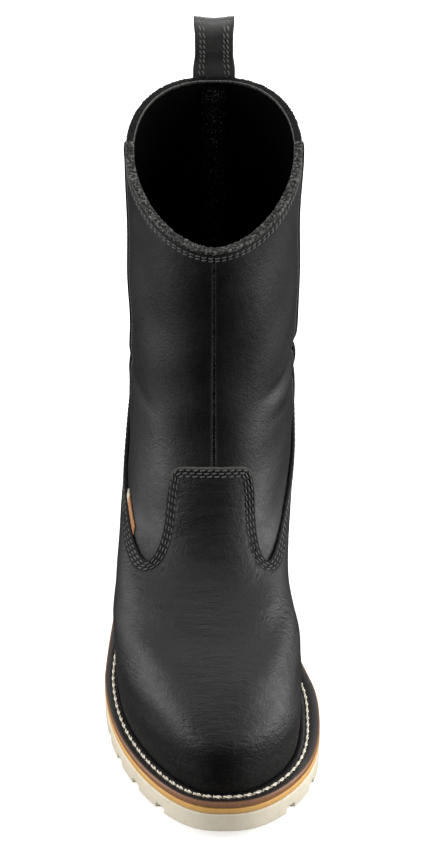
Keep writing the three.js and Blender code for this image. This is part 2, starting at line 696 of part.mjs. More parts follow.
add('front_collar_edge', 'leather', collar(-sideSeam + seamTurn, sideSeam - seamTurn));
add('back_collar_edge', 'leather', collar(sideSeam + seamTurn, circle - sideSeam - seamTurn));

add('pull_loop', 'leather', makePullLoop());
add('pull_loop_outer_leg', 'leather', strapLeg(outerLeg, 0));
add('pull_loop_inner_leg', 'leather', strapLeg(innerLeg, 2));
add('side_label', 'label', makeLabel());

export default boot;
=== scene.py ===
# Steel toe pull-on work boot, right foot: the leather, stitching, linings and sole built round the
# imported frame. Shapes are worked out in millimetres; the toe points along -Y, +X is the inner side.
import itertools
import math
import random

import bpy
import numpy as np
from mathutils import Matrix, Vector
from mathutils.kdtree import KDTree


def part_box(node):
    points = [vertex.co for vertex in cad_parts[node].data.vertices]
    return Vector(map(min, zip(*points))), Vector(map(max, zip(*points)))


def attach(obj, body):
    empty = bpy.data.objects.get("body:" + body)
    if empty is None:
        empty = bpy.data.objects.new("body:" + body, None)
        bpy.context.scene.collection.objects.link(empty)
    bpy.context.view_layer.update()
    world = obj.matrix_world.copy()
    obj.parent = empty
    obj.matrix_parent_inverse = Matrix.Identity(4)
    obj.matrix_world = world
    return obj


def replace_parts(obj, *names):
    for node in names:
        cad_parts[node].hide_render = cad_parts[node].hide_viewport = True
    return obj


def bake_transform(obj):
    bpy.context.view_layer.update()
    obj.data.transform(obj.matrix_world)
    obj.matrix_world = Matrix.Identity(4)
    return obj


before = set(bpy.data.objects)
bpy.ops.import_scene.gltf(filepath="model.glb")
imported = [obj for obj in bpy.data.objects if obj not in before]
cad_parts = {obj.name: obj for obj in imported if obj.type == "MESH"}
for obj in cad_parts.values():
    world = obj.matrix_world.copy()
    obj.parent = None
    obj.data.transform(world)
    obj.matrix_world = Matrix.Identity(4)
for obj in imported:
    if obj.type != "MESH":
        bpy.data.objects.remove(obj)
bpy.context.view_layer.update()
metre = 0.001   # one millimetre, in Blender's metres
degree = math.pi / 180
body = "upper_and_sole"


def boxOf(node):
    low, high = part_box(node)
    return low / metre, high / metre


# The boot's form, from the frame's own boxes.
soleLow, soleHigh = boxOf("outsole")
loopLow, loopHigh = boxOf("pull_loop")
toeY, heelY = soleLow.y, soleHigh.y
form = {
    "rimBackZ": 285, "rimDrop": 22, "rimBackY": heelY - 23, "rimDepth": 128, "rimWidth": 90,
    "sidePeak": 9, "medialTaper": 12, "toeSkew": 4.6, "toeSpring": 9, "heelLift": 12,
    "ankleZ": 128, "toeCap": 82, "heelCap": 40,
}
stack = {"outsole": 13, "gap": 0.4, "midsole": 3.8, "welt": 4.2}
ballY = toeY + 100
rimFrontY = form["rimBackY"] - form["rimDepth"]
ballLateral, ballMedial = 59.5, 55.8
waistLateral, waistMedial = 50, 40.5
heelLateral, heelMedial = 42, 41
skinOut = 2.4      # outer face of the vamp and foxing, from the form
liningOut = -2.4
liningIn = -4.2
tapeIn = -5.5


def mix(a, b, share):
    return a + (b - a) * share


def smooth(value):
    value = np.clip(value, 0, 1)
    return value ** 2 * (3 - 2 * value)


# A smooth curve through (place, value) points, straight beyond its ends.
def through(points, place):
    xs, ys = np.array(points, float).T
    count = len(xs)
    ahead = np.minimum(np.arange(count) + 1, count - 1)
    behind = np.maximum(np.arange(count) - 1, 0)
    slopes = (ys[ahead] - ys[behind]) / (xs[ahead] - xs[behind])
    k = np.clip(np.searchsorted(xs, place, side="right") - 1, 0, count - 2)
    span = xs[k + 1] - xs[k]
    u = (place - xs[k]) / span
    inside = (ys[k] + slopes[k] * span * (u - 2 * u ** 2 + u ** 3)
              + (ys[k + 1] - ys[k]) * (3 * u ** 2 - 2 * u ** 3)
              + slopes[k + 1] * span * (u ** 3 - u ** 2))
    before = ys[0] + (place - xs[0]) * slopes[0]
    after = ys[-1] + (place - xs[-1]) * slopes[-1]
    return np.where(place <= xs[0], before, np.where(place >= xs[-1], after, inside))


lateralSide = [
    (toeY, ballLateral - 19.5), (toeY + 50, ballLateral - 7), (toeY + 80, ballLateral - 1.4),
    (toeY + 105, ballLateral), (toeY + 150, mix(ballLateral, waistLateral, 0.42)),
    (toeY + 190, waistLateral), (heelY - 60, heelLateral), (heelY, heelLateral - 1)]
medialSide = [
    (toeY, ballMedial - 10), (toeY + 34, ballMedial - 1.6), (toeY + 74, ballMedial),
    (toeY + 92, ballMedial - 1.5), (toeY + 118, mix(ballMedial, waistMedial, 0.6)),
    (toeY + 150, waistMedial + 1), (toeY + 185, waistMedial), (heelY - 62, heelMedial),
    (heelY, heelMedial - 1)]


def roundEnd(s, power):
    return (1 - (1 - np.clip(s, 0, 1)) ** power) ** (1 / power)


def towardsToe(y):
    return np.clip((ballY - y) / (ballY - toeY), 0, 1)


def centreX(y):
    return form["toeSkew"] * towardsToe(y) ** 1.2


def toeLift(y):
    return form["toeSpring"] * towardsToe(y) ** 2


def outsoleTop(y):
    return stack["outsole"] + toeLift(y) + form["heelLift"] * smooth((y - toeY - 105) / 115)


def midsoleBase(y):
    return outsoleTop(y) + stack["gap"]


def midsoleTop(y):
    return midsoleBase(y) + stack["midsole"]


def weltBase(y):
    return midsoleTop(y) + stack["gap"]


def weltTop(y):
    return weltBase(y) + stack["welt"]


def soleHalf(medial, y):
    return np.where(medial, through(medialSide, y), through(lateralSide, y))


def rearShare(y):
    return smooth((y - toeY - 110) / 90)


def medialExtra(medial, y):
    return np.where(medial, 3.5 * smooth((y - toeY - 20) / 50) * (1 - rearShare(y)), 0)


def weltProud(medial, y):
    return mix(7.6, 6.2, rearShare(y)) + medialExtra(medial, y)


# The sole's outline at an angle from the toe through the inner side, moved in by an inset.
def solePoint(angle, inset=0.0):
    front, back = toeY + inset, heelY - inset
    y = mix(front, back, (1 - np.cos(angle)) / 2)
    medial = np.sin(angle) >= 0
    ends = (roundEnd((y - front) / (form["toeCap"] - inset / 2), 2.5)
            * roundEnd((back - y) / (form["heelCap"] - inset / 2), 2.3))
    return centreX(y) + np.where(medial, 1, -1) * (soleHalf(medial, y) - inset) * ends, y


# Nine key sections of the upper, from the welt (0) round the toe and up to the topline (8).
frontZ = float(weltTop(toeY + 12))
backZ = float(weltTop(heelY - 8))
lowShaftZ = mix(form["ankleZ"], form["rimBackZ"], 0.42)
keys = {
    "frontY": [toeY + 10.5, toeY + 9.5, toeY + 15, toeY + 37, toeY + 70,
               mix(toeY + 70, rimFrontY, 0.52), rimFrontY - 13, rimFrontY - 3, rimFrontY],
    "frontZ": [frontZ, frontZ + 15, frontZ + 31, frontZ + 44, frontZ + 54, frontZ + 76,
               form["ankleZ"] + 24, lowShaftZ + 6, form["rimBackZ"] - form["rimDrop"]],
    "backY": [heelY - 9.5, heelY - 6.5, heelY - 5.5, heelY - 7.5, heelY - 11.5, heelY - 17.5,
              heelY - 25, heelY - 26.5, form["rimBackY"]],
    "backZ": [backZ, backZ + 13, backZ + 27, backZ + 42, backZ + 58, backZ + 76,
              form["ankleZ"] + 8, lowShaftZ, form["rimBackZ"]],
    "foot": [1, 1, 1, 0.85, 0.6, 0.3, 0.05, 0, 0],
    "trim": [0, -1, -1.5, -2, -2, 0, 0, 0, 0],
    "lateral": [40, 40, 42, 46, 49, 48.5, 45, 44.8, form["rimWidth"] / 2],
    "medial": [38, 38, 41, 44, 46, 46, 42.8, 44, form["rimWidth"] / 2],
    "capFront": [72, 72, 72, 72, 72, 70, 66, 66, form["rimDepth"] / 2],
    "capBack": [36, 36, 36, 38, 44, 52, 62, 64, form["rimDepth"] / 2],
}
topLevel = 8


def keyed(name, level):
    return through(list(enumerate(keys[name])), level)


def formPoint(angle, wanted):
    angle, wanted = np.broadcast_arrays(np.asarray(angle, float), np.asarray(wanted, float))
    level = np.maximum(0, wanted)
    share = (1 - np.cos(angle)) / 2
    frontY, backY = keyed("frontY", level), keyed("backY", level)
    y = mix(frontY, backY, share)
    along = np.clip((y - keys["frontY"][0]) / (keys["backY"][0] - keys["frontY"][0]), 0, 1)
    ground = weltTop(y) - mix(frontZ, backZ, along)
    sine = np.sin(angle)
    peak = form["sidePeak"] * np.abs(sine) ** 1.5 * smooth((level - 6) / 2)
    z = mix(keyed("frontZ", level), keyed("backZ", level), share)
    z = z + ground * (1 - smooth(level / 4)) + peak + np.minimum(0, wanted) * stack["welt"]
    medial = sine >= 0
    foot = soleHalf(medial, y) - weltProud(medial, y) - skinOut - keyed("trim", level)
    shaft = np.where(medial, keyed("medial", level), keyed("lateral", level))
    width = mix(shaft, foot, keyed("foot", level))
    taper = np.where(medial, form["medialTaper"] * smooth(level / 3)
                     * (1 - smooth((level - 4.5) / 2)), 0)
    power = mix(2.2, 2, smooth((level - 6) / 2))
    ends = (roundEnd((y - frontY) / (keyed("capFront", level) + taper), power)
            * roundEnd((backY - y) / keyed("capBack", level), power))
    x = centreX(y) + np.where(medial, 1, -1) * width * ends
    return np.stack([x, y, z], -1)


# The form's line round the boot at one level.
def atLevel(level):
    return lambda angle: formPoint(angle, level)


def unit(vectors):
    return vectors / np.maximum(np.linalg.norm(vectors, axis=-1, keepdims=True), 1e-9)


def formNormal(angle, level):
    step = 0.01
    angle, level = np.broadcast_arrays(np.asarray(angle, float), np.asarray(level, float))
    around = formPoint(angle + step, level) - formPoint(angle - step, level)
    rise = formPoint(angle, level + step) - formPoint(angle, level - step)
    rise = np.where((level <= 0.02)[..., None], np.array([0.0, 0.0, 1.0]), rise)
    return unit(np.cross(around, rise))


def layerPoint(angle, level, out):
    return formPoint(angle, level) + formNormal(angle, level) * np.asarray(out)[..., None]


# A smooth-shaded mesh with its faces turned outwards, riding on a body.
def makeObject(name, points, faces, look, slot, rideOn=body):
    points = np.asarray(points).reshape(-1, 3)
    mesh = bpy.data.meshes.new(name)
    mesh.from_pydata([tuple(p) for p in points * metre], [], facedOut(points, faces))
    mesh.update()
    mesh.polygons.foreach_set("use_smooth", [True] * len(mesh.polygons))
    made = bpy.data.objects.new(name, mesh)
    bpy.context.scene.collection.objects.link(made)
    made.data.materials.append(look)
    if rideOn:
        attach(made, rideOn)
    return made


def addAttribute(made, name, values):
    layer = made.data.attributes.new(name, "FLOAT", "POINT")
    layer.data.foreach_set("value", np.asarray(values, np.float32))


def facedOut(points, faces):
    a, b, c = (points[[f[k] for f in faces]] for k in range(3))
    volume = np.einsum("ij,ij->i", a, np.cross(b, c)).sum()
    return faces if volume > 0 else [tuple(reversed(f)) for f in faces]


def gridFaces(columns, rows, closed=False):
    faces = []
    for i in range(columns if closed else columns - 1):
        a, b = i * rows, (i + 1) % columns * rows
        faces += [(a + j, b + j, b + j + 1, a + j + 1) for j in range(rows - 1)]
    return faces


# Columns that are each a closed loop of points: a ring when closed, or a bar with end caps.
def loftFaces(columns, rows, closed):
    faces = []
    for i in range(columns if closed else columns - 1):
        a, b = i * rows, (i + 1) % columns * rows
        faces += [(a + j, b + j, b + (j + 1) % rows, a + (j + 1) % rows) for j in range(rows)]
    if not closed:
        faces.append(tuple(range(rows)))
        faces.append(tuple(reversed(range((columns - 1) * rows, columns * rows))))
    return faces


def loft(name, columns, look, slot, closed=False, rideOn=body):
    faces = loftFaces(columns.shape[0], columns.shape[1], closed)
    return makeObject(name, columns, faces, look, slot, rideOn)


def pathLengths(points):
    return np.concatenate([[0], np.cumsum(np.linalg.norm(np.diff(points, axis=0), axis=1))])


# Parameters along a curve at even distances, at most a spacing apart.
def evenly(curve, start, end, spacing):
    fine = np.linspace(start, end, 3000)
    run = pathLengths(curve(fine))
    count = max(2, int(math.ceil(run[-1] / spacing)) + 1)
    return np.interp(np.linspace(0, run[-1], count), run, fine)


def distanceTo(points, line):
    tree = KDTree(len(line))
    for k, p in enumerate(line):
        tree.insert(p, k)
    tree.balance()
    return np.array([tree.find(p)[2] for p in points.reshape(-1, 3)]).reshape(points.shape[:-1])


def roundFall(distance, radius):
    inside = 1 - np.clip(distance / radius, 0, 1)
    return radius * (1 - np.sqrt(np.maximum(0, 1 - inside ** 2)))


# A piece of leather: a grid on the form between two edges, with thickness and rounded cut edges,
# marked for painted shade along its stitch rows and over its back face.
def leatherPiece(name, angles, low, high, count, inner, outer, look, slot, swell=None,
                 cutEdges="top left right", rows=(), rounding=0.5, paleEdge=None):
    low = np.broadcast_to(np.asarray(low, float), angles.shape)
    high = np.broadcast_to(np.asarray(high, float), angles.shape)
    share = np.linspace(0, 1, count + 1)
    bands = np.concatenate([[0, 0.0015, 0.004, 0.008], share[1:-1] * 0.976 + 0.012,
                            [0.992, 0.996, 0.9985, 1]])
    level = low[:, None] + (high - low)[:, None] * bands[None, :]
    angle = np.broadcast_to(angles[:, None], level.shape)
    base = layerPoint(angle, level, outer)
    lines = {"top": base[:, -1], "bottom": base[:, 0], "left": base[0], "right": base[-1]}
    rim = np.concatenate([densify(lines[side]) for side in cutEdges.split()])
    gap = distanceTo(base, rim)
    out = outer - np.minimum(roundFall(gap, rounding), (outer - inner) * 0.45)
    for inset in rows:
        out = out - 0.3 * np.exp(-((gap - inset) / 0.45) ** 2)
    if swell is not None:
        out = out + swell(angle, level, gap)
    front = layerPoint(angle, level, out).reshape(-1, 3)
    back = layerPoint(angle, level, inner).reshape(-1, 3)
    columns, tall = level.shape
    total = columns * tall
    faces = gridFaces(columns, tall)
    faces += [tuple(reversed([v + total for v in f])) for f in gridFaces(columns, tall)]
    for i in range(columns - 1):
        a, b = i * tall, (i + 1) * tall
        faces.append((a, a + total, b + total, b))
        a, b = a + tall - 1, b + tall - 1
        faces.append((a, b, b + total, a + total))
    last = (columns - 1) * tall
    for j in range(tall - 1):
        faces.append((j, j + 1, j + 1 + total, j + total))
        faces.append((last + j, last + j + total, last + j + 1 + total, last + j + 1))
    made = makeObject(name, np.concatenate([front, back]), faces, look, slot)
    near = gap.reshape(-1)
    pale = np.zeros(total) if paleEdge is None else paleEdge(angle, level).reshape(-1)
    addAttribute(made, "cutEdge", np.concatenate([np.exp(-(near / 0.8) ** 2) * pale, pale]))
    # Painted shade: the band along the stitch rows and the whole back face are marked to be darkened
    # in the leather's colour.
    wide = (rows[-1] + 0.9) if rows else 0.9
    band = 1 - smooth((near - wide) / 0.7)
    addAttribute(made, "seamBand", np.concatenate([band, np.ones(total)]))
    return made


def densify(line, spacing=0.5):
    run = pathLengths(line)
    at = np.linspace(0, run[-1], max(2, int(run[-1] / spacing)))
    return np.stack([np.interp(at, run, line[:, k]) for k in range(3)], -1)


# A path on the form, as angle and level arrays, moved sideways over the surface in small steps.
def offsetPath(angle, level, distance):
    angle, level = np.broadcast_arrays(angle, level)
    edge = formPoint(angle, level)
    steps = max(1, int(math.ceil(abs(distance) / 0.8)))
    step = distance / steps
    small = 0.004
    for _ in range(steps):
        byAngle = (formPoint(angle + small, level) - formPoint(angle - small, level)) / (2 * small)
        byLevel = (formPoint(angle, level + small) - formPoint(angle, level - small)) / (2 * small)
        along = unit(np.gradient(formPoint(angle, level), axis=0))
        side = unit(np.cross(formNormal(angle, level), along)) * step
        a, b, c = (byAngle ** 2).sum(-1), (byAngle * byLevel).sum(-1), (byLevel ** 2).sum(-1)
        p, q = (byAngle * side).sum(-1), (byLevel * side).sum(-1)
        det = a * c - b * b
        angle = angle + (c * p - b * q) / det
        level = level + (a * q - b * p) / det
    far = distanceTo(formPoint(angle, level), densify(edge, 0.3)) > abs(distance) * 0.96 - 0.05
    return angle[far], level[far]


# A capped tube of rings whose points start at a number.
def tubeFaces(start, rings, sides):
    faces = []
    for i in range(rings - 1):
        a, b = start + i * sides, start + (i + 1) * sides
        faces += [(a + j, a + (j + 1) % sides, b + (j + 1) % sides, b + j) for j in range(sides)]
    end = start + (rings - 1) * sides
    return faces + [tuple(reversed(range(start, start + sides))), tuple(range(end, end + sides))]


# Stitches along a line of points: short arched capsules whose ends go down into the leather.
def stitchLine(points, normals, pitch, length, radius, rise, lean=0.0):
    run = pathLengths(points)
    count = max(1, int(run[-1] / pitch))
    centres = (np.arange(count) + 0.5) * run[-1] / count
    at = lambda values, s: np.stack([np.interp(s, run, values[:, k]) for k in range(3)], -1)
    rings = np.linspace(-1, 1, 6)
    sides = np.arange(6) * math.pi / 3
    middle = at(points, centres)
    up = unit(at(normals, centres))
    along = unit(at(points, centres + 0.4) - at(points, centres - 0.4))
    across = unit(np.cross(up, along))
    along = unit(along + across * lean)
    across = np.cross(up, along)
    corners = []
    for ring in rings:
        taper = math.sqrt(max(0.12, 1 - ring ** 4))
        height = rise * (1 - 2.2 * ring ** 4)
        for side in sides:
            corners.append(middle + along * (ring * length / 2)
                           + across * (radius * taper * math.cos(side))
                           + up * (height + radius * 0.8 * taper * math.sin(side)))
    faces = []
    for k in range(count):
        faces += tubeFaces(k * len(rings) * len(sides), len(rings), len(sides))
    return np.stack(corners, 1).reshape(-1, 3), faces


def stitchObject(name, lines, look, slot, settings, lean=0.0, rideOn=body):
    points, faces = [], []
    for line, normals in lines:
        newPoints, newFaces = stitchLine(line, normals, lean=lean, **settings)
        faces += [tuple(v + len(points) for v in f) for f in newFaces]
        points += list(newPoints)
    return makeObject(name, points, faces, look, slot, rideOn)


def onForm(angle, level, out):
    return layerPoint(angle, level, out), formNormal(angle, level)


# A socket that can be added, taken away, multiplied and divided like a number.
class Wire:
    def __init__(self, shader, socket):
        self.shader = shader
        self.socket = socket

    def maths(self, operation, *values):
        settings = {"operation": operation}
        return self.shader.node("ShaderNodeMath", settings, dict(enumerate(values)))

    def __add__(self, other):
        return self.maths("ADD", self, other)

    def __sub__(self, other):
        return self.maths("SUBTRACT", self, other)

    def __mul__(self, other):
        return self.maths("MULTIPLY", self, other)

    def __truediv__(self, other):
        return self.maths("DIVIDE", self, other)

    def __rsub__(self, other):
        return self.maths("SUBTRACT", other, self)

    def __rtruediv__(self, other):
        return self.maths("DIVIDE", other, self)

    __radd__ = __add__
    __rmul__ = __mul__

    def clamped(self):
        return self.shader.node("ShaderNodeClamp", {}, {"Value": self})

    def ramp(self, start, end):
        return ((self - start) / (end - start)).clamped()


class NodeTree:
    def __init__(self, tree):
        self.tree = tree

    def node(self, kind, settings, values, out=0):
        made = self.tree.nodes.new(kind)
        for key, value in settings.items():
            if key == "stops":
                while len(made.color_ramp.elements) < len(value):
                    made.color_ramp.elements.new(0.5)
                for stop, (position, colour) in zip(made.color_ramp.elements, value):
                    stop.position = position
                    stop.color = colour
            else:
                setattr(made, key, value)
        for key, value in values.items():
            self.connect(made.inputs[key], value)
        return Wire(self, made.outputs[out])

    def connect(self, socket, value):
        if isinstance(value, Wire):
            self.tree.links.new(value.socket, socket)
        elif socket.type == "RGBA" and len(value) == 3:
            socket.default_value = (*value, 1)
        else:
            socket.default_value = value


class Shader(NodeTree):
    def __init__(self, name, **constants):
        self.material = bpy.data.materials.new(name)
        self.material.use_nodes = True
        super().__init__(self.material.node_tree)
        self.surface = self.tree.nodes["Principled BSDF"]
        self.finish(**constants)
        self.place = self.node("ShaderNodeTexCoord", {}, {}, "Object")

    def attribute(self, name):
        return self.node("ShaderNodeAttribute", {"attribute_name": name}, {}, "Fac")

    def stretched(self, scale):
        return self.node("ShaderNodeMapping", {}, {"Vector": self.place, "Scale": scale})

    def noise(self, scale, detail=3.0, rough=0.55, place=None, twist=0.0):
        return self.node("ShaderNodeTexNoise", {}, {
            "Vector": place or self.place, "Scale": scale, "Detail": detail, "Roughness": rough,
            "Distortion": twist})

    def cells(self, scale, feature="F1", place=None, random=1.0):
        return self.node("ShaderNodeTexVoronoi", {"feature": feature}, {
            "Vector": place or self.place, "Scale": scale, "Randomness": random})

    def blend(self, share, a, b):
        values = {"Factor": share, 6: a, 7: b}
        return self.node("ShaderNodeMix", {"data_type": "RGBA"}, values, 2)

    def bump(self, height, distance, strength=1.0, under=None):
        values = {"Height": height, "Distance": distance, "Strength": strength}
        if under is not None:
            values["Normal"] = under
        return self.node("ShaderNodeBump", {}, values, "Normal")

    def finish(self, **links):
        for socket, value in links.items():
            self.connect(self.surface.inputs[socket.replace("_", " ")], value)
        return self.material


def grey(tone):
    return (tone, tone, tone)


# Oiled nubuck: fine pebbled grain, cloudy tone, brown rubs, paler fibres on cut edges and painted
# shade darkening the seam bands.
def leatherLook(name, dark, pale, rub, grain=1.0, roughness=0.6, wrinkle=0.35):
    s = Shader(name, Specular_IOR_Level=0.62)
    cloud = s.noise(26, 5, 0.6, twist=0.4)
    fine = s.noise(260, 4, 0.6)
    pores = s.cells(1150)
    pebble = s.cells(620, "SMOOTH_F1")
    tone = ((cloud - 0.35) * 1.6 + (fine - 0.5) * 0.55).clamped()
    colour = s.blend(tone, dark, pale)
    colour = s.blend((s.noise(9, 5, 0.6) - 0.5).ramp(0.02, 0.2) * 0.55, colour, rub)
    cut = s.attribute("cutEdge")
    band = s.attribute("seamBand")
    fibre = s.noise(900, 3, 0.7)
    # Painted shade: the marked band is darkened towards black, shade in the stitch grooves over black
    # wax, and shade on the pull strap's rounded edges.
    colour = s.blend(band * 0.8, colour, grey(0.0003))
    colour = s.blend((cut * (fibre + 0.25)).clamped() * 0.75, colour, (0.105, 0.1, 0.09))
    grainHeight = pebble * 0.5 + pores * 0.35 + fine * 0.9
    normal = s.bump(grainHeight, 0.00023 * grain, 0.65)
    normal = s.bump(cloud, 0.0009, 0.4, normal)
    crease = s.noise(430, 3, 0.6, s.stretched((0.22, 1, 1)), 0.5)
    creased = (s.noise(16, 2) - 0.4).ramp(0.02, 0.16)
    normal = s.bump(crease * creased, 0.00075 * wrinkle, 0.7, normal)
    rough = roughness + (cloud - 0.5) * 0.3 + (fine - 0.5) * 0.16 + cut * 0.25 + band * 0.3
    return s.finish(Base_Color=colour, Roughness=rough.clamped(), Normal=normal)


def rawEdgeLook(name, fibrePale, highlightShare, sheen=0.05):
    s = Shader(name, Specular_IOR_Level=0.2, Sheen_Weight=sheen)
    fibre = s.noise(650, 5, 0.8)
    fleck = s.cells(900)
    patch = s.noise(120, 4, 0.6)
    colour = s.blend(fibre.ramp(0.5, 0.7), (0.004, 0.004, 0.0038), fibrePale)
    colour = s.blend((patch - 0.42).ramp(0, 0.25) * 0.5, colour, (0.006, 0.006, 0.0058))
    # Painted highlight: pale lines along the collar's top corners, where light catches them.
    line = (s.attribute("rimLine") * (fleck + 0.45) * highlightShare).clamped()
    colour = s.blend(line, colour, (0.16, 0.155, 0.145))
    normal = s.bump(fibre + fleck * 0.6, 0.0006, 1.0)
    return s.finish(Base_Color=colour, Roughness=0.78 + (fibre - 0.5) * 0.3, Normal=normal)


def threadLook(name, colour, shade):
    s = Shader(name, Specular_IOR_Level=0.35, Sheen_Weight=0.25)
    strand = s.noise(900, 3, 0.6)
    grime = s.noise(90, 4, 0.6)
    mixed = s.blend((strand * 1.3 - 0.2).clamped(), shade, colour)
    mixed = s.blend((grime - 0.5).ramp(0, 0.2) * 0.45, mixed, shade)
    return s.finish(Base_Color=mixed, Roughness=0.62 + (strand - 0.5) * 0.3,
                    Normal=s.bump(strand, 0.0002, 0.7))


def fuzzLook(name, dark, pale):
    s = Shader(name, Specular_IOR_Level=0.03)
    pile = s.noise(1300, 4, 0.7)
    holes = s.cells(700)
    colour = s.blend((pile * holes * 2.2 - 0.35).clamped(), dark, pale)
    return s.finish(Base_Color=colour, Roughness=0.95 - (pile - 0.5) * 0.2,
                    Normal=s.bump(pile + holes * 0.5, 0.0007, 1.0))


def rubberLook(name, pale, dark, darkerTone):
    s = Shader(name, Specular_IOR_Level=0.4, Subsurface_Weight=0.04)
    cloud = s.noise(45, 4, 0.55)
    grime = s.noise(210, 5, 0.65)
    pit = s.cells(1500)
    height = s.node("ShaderNodeSeparateXYZ", {}, {"Vector": s.place}, "Z")
    low = 1 - height.ramp(0.0, 0.012)
    colour = s.blend((cloud * 1.3 - 0.15).clamped(), dark, pale)
    # Darker in noise patches and towards the bottom, within 12 mm of the ground.
    colour = s.blend(((grime - 0.5).ramp(0.04, 0.2) * 0.35 + low * 0.25).clamped(), colour, darkerTone)
    return s.finish(Base_Color=colour, Roughness=0.5 + (grime - 0.5) * 0.3,
                    Normal=s.bump(pit * 0.5 + grime, 0.00022, 0.6))


def weltLook():
    s = Shader("burnished welt leather", Specular_IOR_Level=0.45, Coat_Weight=0.2,
               Coat_Roughness=0.3)
    cloud = s.noise(60, 5, 0.6)
    fibre = s.noise(700, 4, 0.65)
    edge = s.attribute("edgeBand")
    colour = s.blend((cloud * 1.4 - 0.2).clamped(), (0.004, 0.0035, 0.0036),
                     (0.012, 0.0085, 0.0078))
    colour = s.blend((edge * (0.8 + (fibre - 0.5) * 0.8)).clamped(), colour, (0.26, 0.115, 0.05))
    return s.finish(Base_Color=colour, Roughness=0.42 + (fibre - 0.5) * 0.35 + edge * 0.15,
                    Normal=s.bump(fibre + cloud * 0.6, 0.0003, 0.7))


def wovenLook(name, warp, weft):
    s = Shader(name, Specular_IOR_Level=0.3, Sheen_Weight=0.4)
    rows, picks = [s.node("ShaderNodeTexWave", {"bands_direction": direction},
                          {"Vector": s.place, "Scale": scale, "Distortion": 1.5, "Detail": 2})
                   for direction, scale in (("Y", 620), ("Z", 760))]
    fray = s.noise(500, 4, 0.6)
    colour = s.blend((rows * 0.7 + fray * 0.4).clamped(), warp, weft)
    return s.finish(Base_Color=colour, Roughness=0.7 + (fray - 0.5) * 0.3,
                    Normal=s.bump(rows + picks, 0.00025, 0.8))


def metalLook():
    s = Shader("pressed steel", Metallic=1.0)
    brush = s.noise(300, 4, 0.6, s.stretched((1, 0.15, 1)))
    spots = s.noise(60, 4, 0.6)
    colour = s.blend(spots, (0.42, 0.43, 0.44), (0.62, 0.63, 0.64))
    return s.finish(Base_Color=colour, Roughness=0.32 + (brush - 0.5) * 0.3,
                    Normal=s.bump(brush, 0.0001, 0.4))


def granularLook(name, dark, pale, scale):
    s = Shader(name, Specular_IOR_Level=0.25)
    crumbs = s.cells(scale)
    fine = s.noise(scale * 2.2, 4, 0.6)
    colour = s.blend((crumbs * 0.8 + fine * 0.5 - 0.1).clamped(), dark, pale)
    return s.finish(Base_Color=colour, Roughness=0.85 + (fine - 0.5) * 0.2,
                    Normal=s.bump(crumbs + fine, 0.0004, 0.8))


looks = {
    "shaft": leatherLook("oiled shaft leather", grey(0.001), (0.0042, 0.0041, 0.0038),
                         (0.0125, 0.0105, 0.0082)),
    "vamp": leatherLook("creased vamp leather", grey(0.001), (0.0042, 0.0041, 0.0039),
                        (0.0085, 0.0075, 0.0062), grain=1.2, wrinkle=1.0),
    "pull": leatherLook("pull strap leather", (0.024, 0.0237, 0.023), (0.046, 0.045, 0.0435),
                        (0.05, 0.047, 0.043), grain=0.8, roughness=0.5),
    "edge": rawEdgeLook("raw front edge", (0.27, 0.265, 0.25), 0.3),
    "backEdge": rawEdgeLook("turned back edge", (0.004, 0.004, 0.0038), 1.2, 0.0),
    "fibre": rawEdgeLook("pale loose fibres", (0.3, 0.29, 0.27), 0.0),
    "seamThread": threadLook("black bonded thread", (0.1, 0.098, 0.093), (0.02, 0.02, 0.0195)),
    "loopThread": threadLook("grey bonded thread", (0.12, 0.117, 0.11), (0.035, 0.034, 0.033)),
    "weltThread": threadLook("waxed cream thread", (0.85, 0.8, 0.68), (0.5, 0.44, 0.33)),
    "lining": fuzzLook("brushed black lining", grey(0.0006), grey(0.002)),
    "tape": fuzzLook("fuzzy seam tape", grey(0.0006), grey(0.006)),
    "welt": weltLook(),
    "midsole": rubberLook("tan midsole rubber", (0.62, 0.35, 0.1), (0.46, 0.24, 0.065),
                          (0.32, 0.15, 0.04)),
    "outsole": rubberLook("cream outsole rubber", (0.6, 0.55, 0.44), (0.5, 0.45, 0.35),
                          (0.36, 0.31, 0.22)),
    "steel": metalLook(),
    "board": granularLook("pressed fibre board", (0.3, 0.2, 0.11), (0.5, 0.37, 0.23), 700),
    "cork": granularLook("ground cork", (0.2, 0.11, 0.05), (0.48, 0.32, 0.18), 380),
    "foam": granularLook("closed-cell foam", (0.03, 0.04, 0.055), (0.08, 0.1, 0.125), 1100),
    "cover": wovenLook("charcoal cover cloth", (0.035, 0.035, 0.037), (0.012, 0.012, 0.013)),
    "label": wovenLook("woven tan tab", (0.5, 0.2, 0.035), (0.28, 0.1, 0.015)),
    "labelEnd": wovenLook("woven cream end", (0.7, 0.6, 0.42), (0.5, 0.4, 0.26)),
}
print("looks made")

# The upper. The radii turn millimetres across the shaft into angles.
upper = {
    "sideSeam": 94 * degree, "wingSeam": 121 * degree, "seamGap": 0.1, "frontGap": 0.5,
    "tongueLevel": 5.73, "scallopLevel": 4.57, "foxingLevel": 5.25,
    "rowsFromEdge": (1.5, 3.2, 4.9), "grid": 1.4, "pipingHalf": 2.1, "stayHalf": 13.5,
    "shaftRadius": 45, "pipingRadius": 47, "backRadius": 52, "vampRadius": 94,
}
vampEdge = [
    (0, upper["tongueLevel"] + 0.03), (12, upper["tongueLevel"] + 0.015),
    (19.5, upper["tongueLevel"] - 0.02), (22.8, upper["tongueLevel"] - 0.09),
    (24.4, upper["tongueLevel"] - 0.26), (25.2, upper["tongueLevel"] - 0.6),
    (mix(25, 35, 0.38), upper["scallopLevel"] + 0.21), (35, upper["scallopLevel"]),
    (45, upper["scallopLevel"] + 0.05),
    (60, mix(upper["scallopLevel"], upper["foxingLevel"], 0.45)), (94, upper["foxingLevel"]),
    (114, upper["foxingLevel"])]


def vampTop(angle):
    return through(vampEdge, np.abs(angle) / degree)


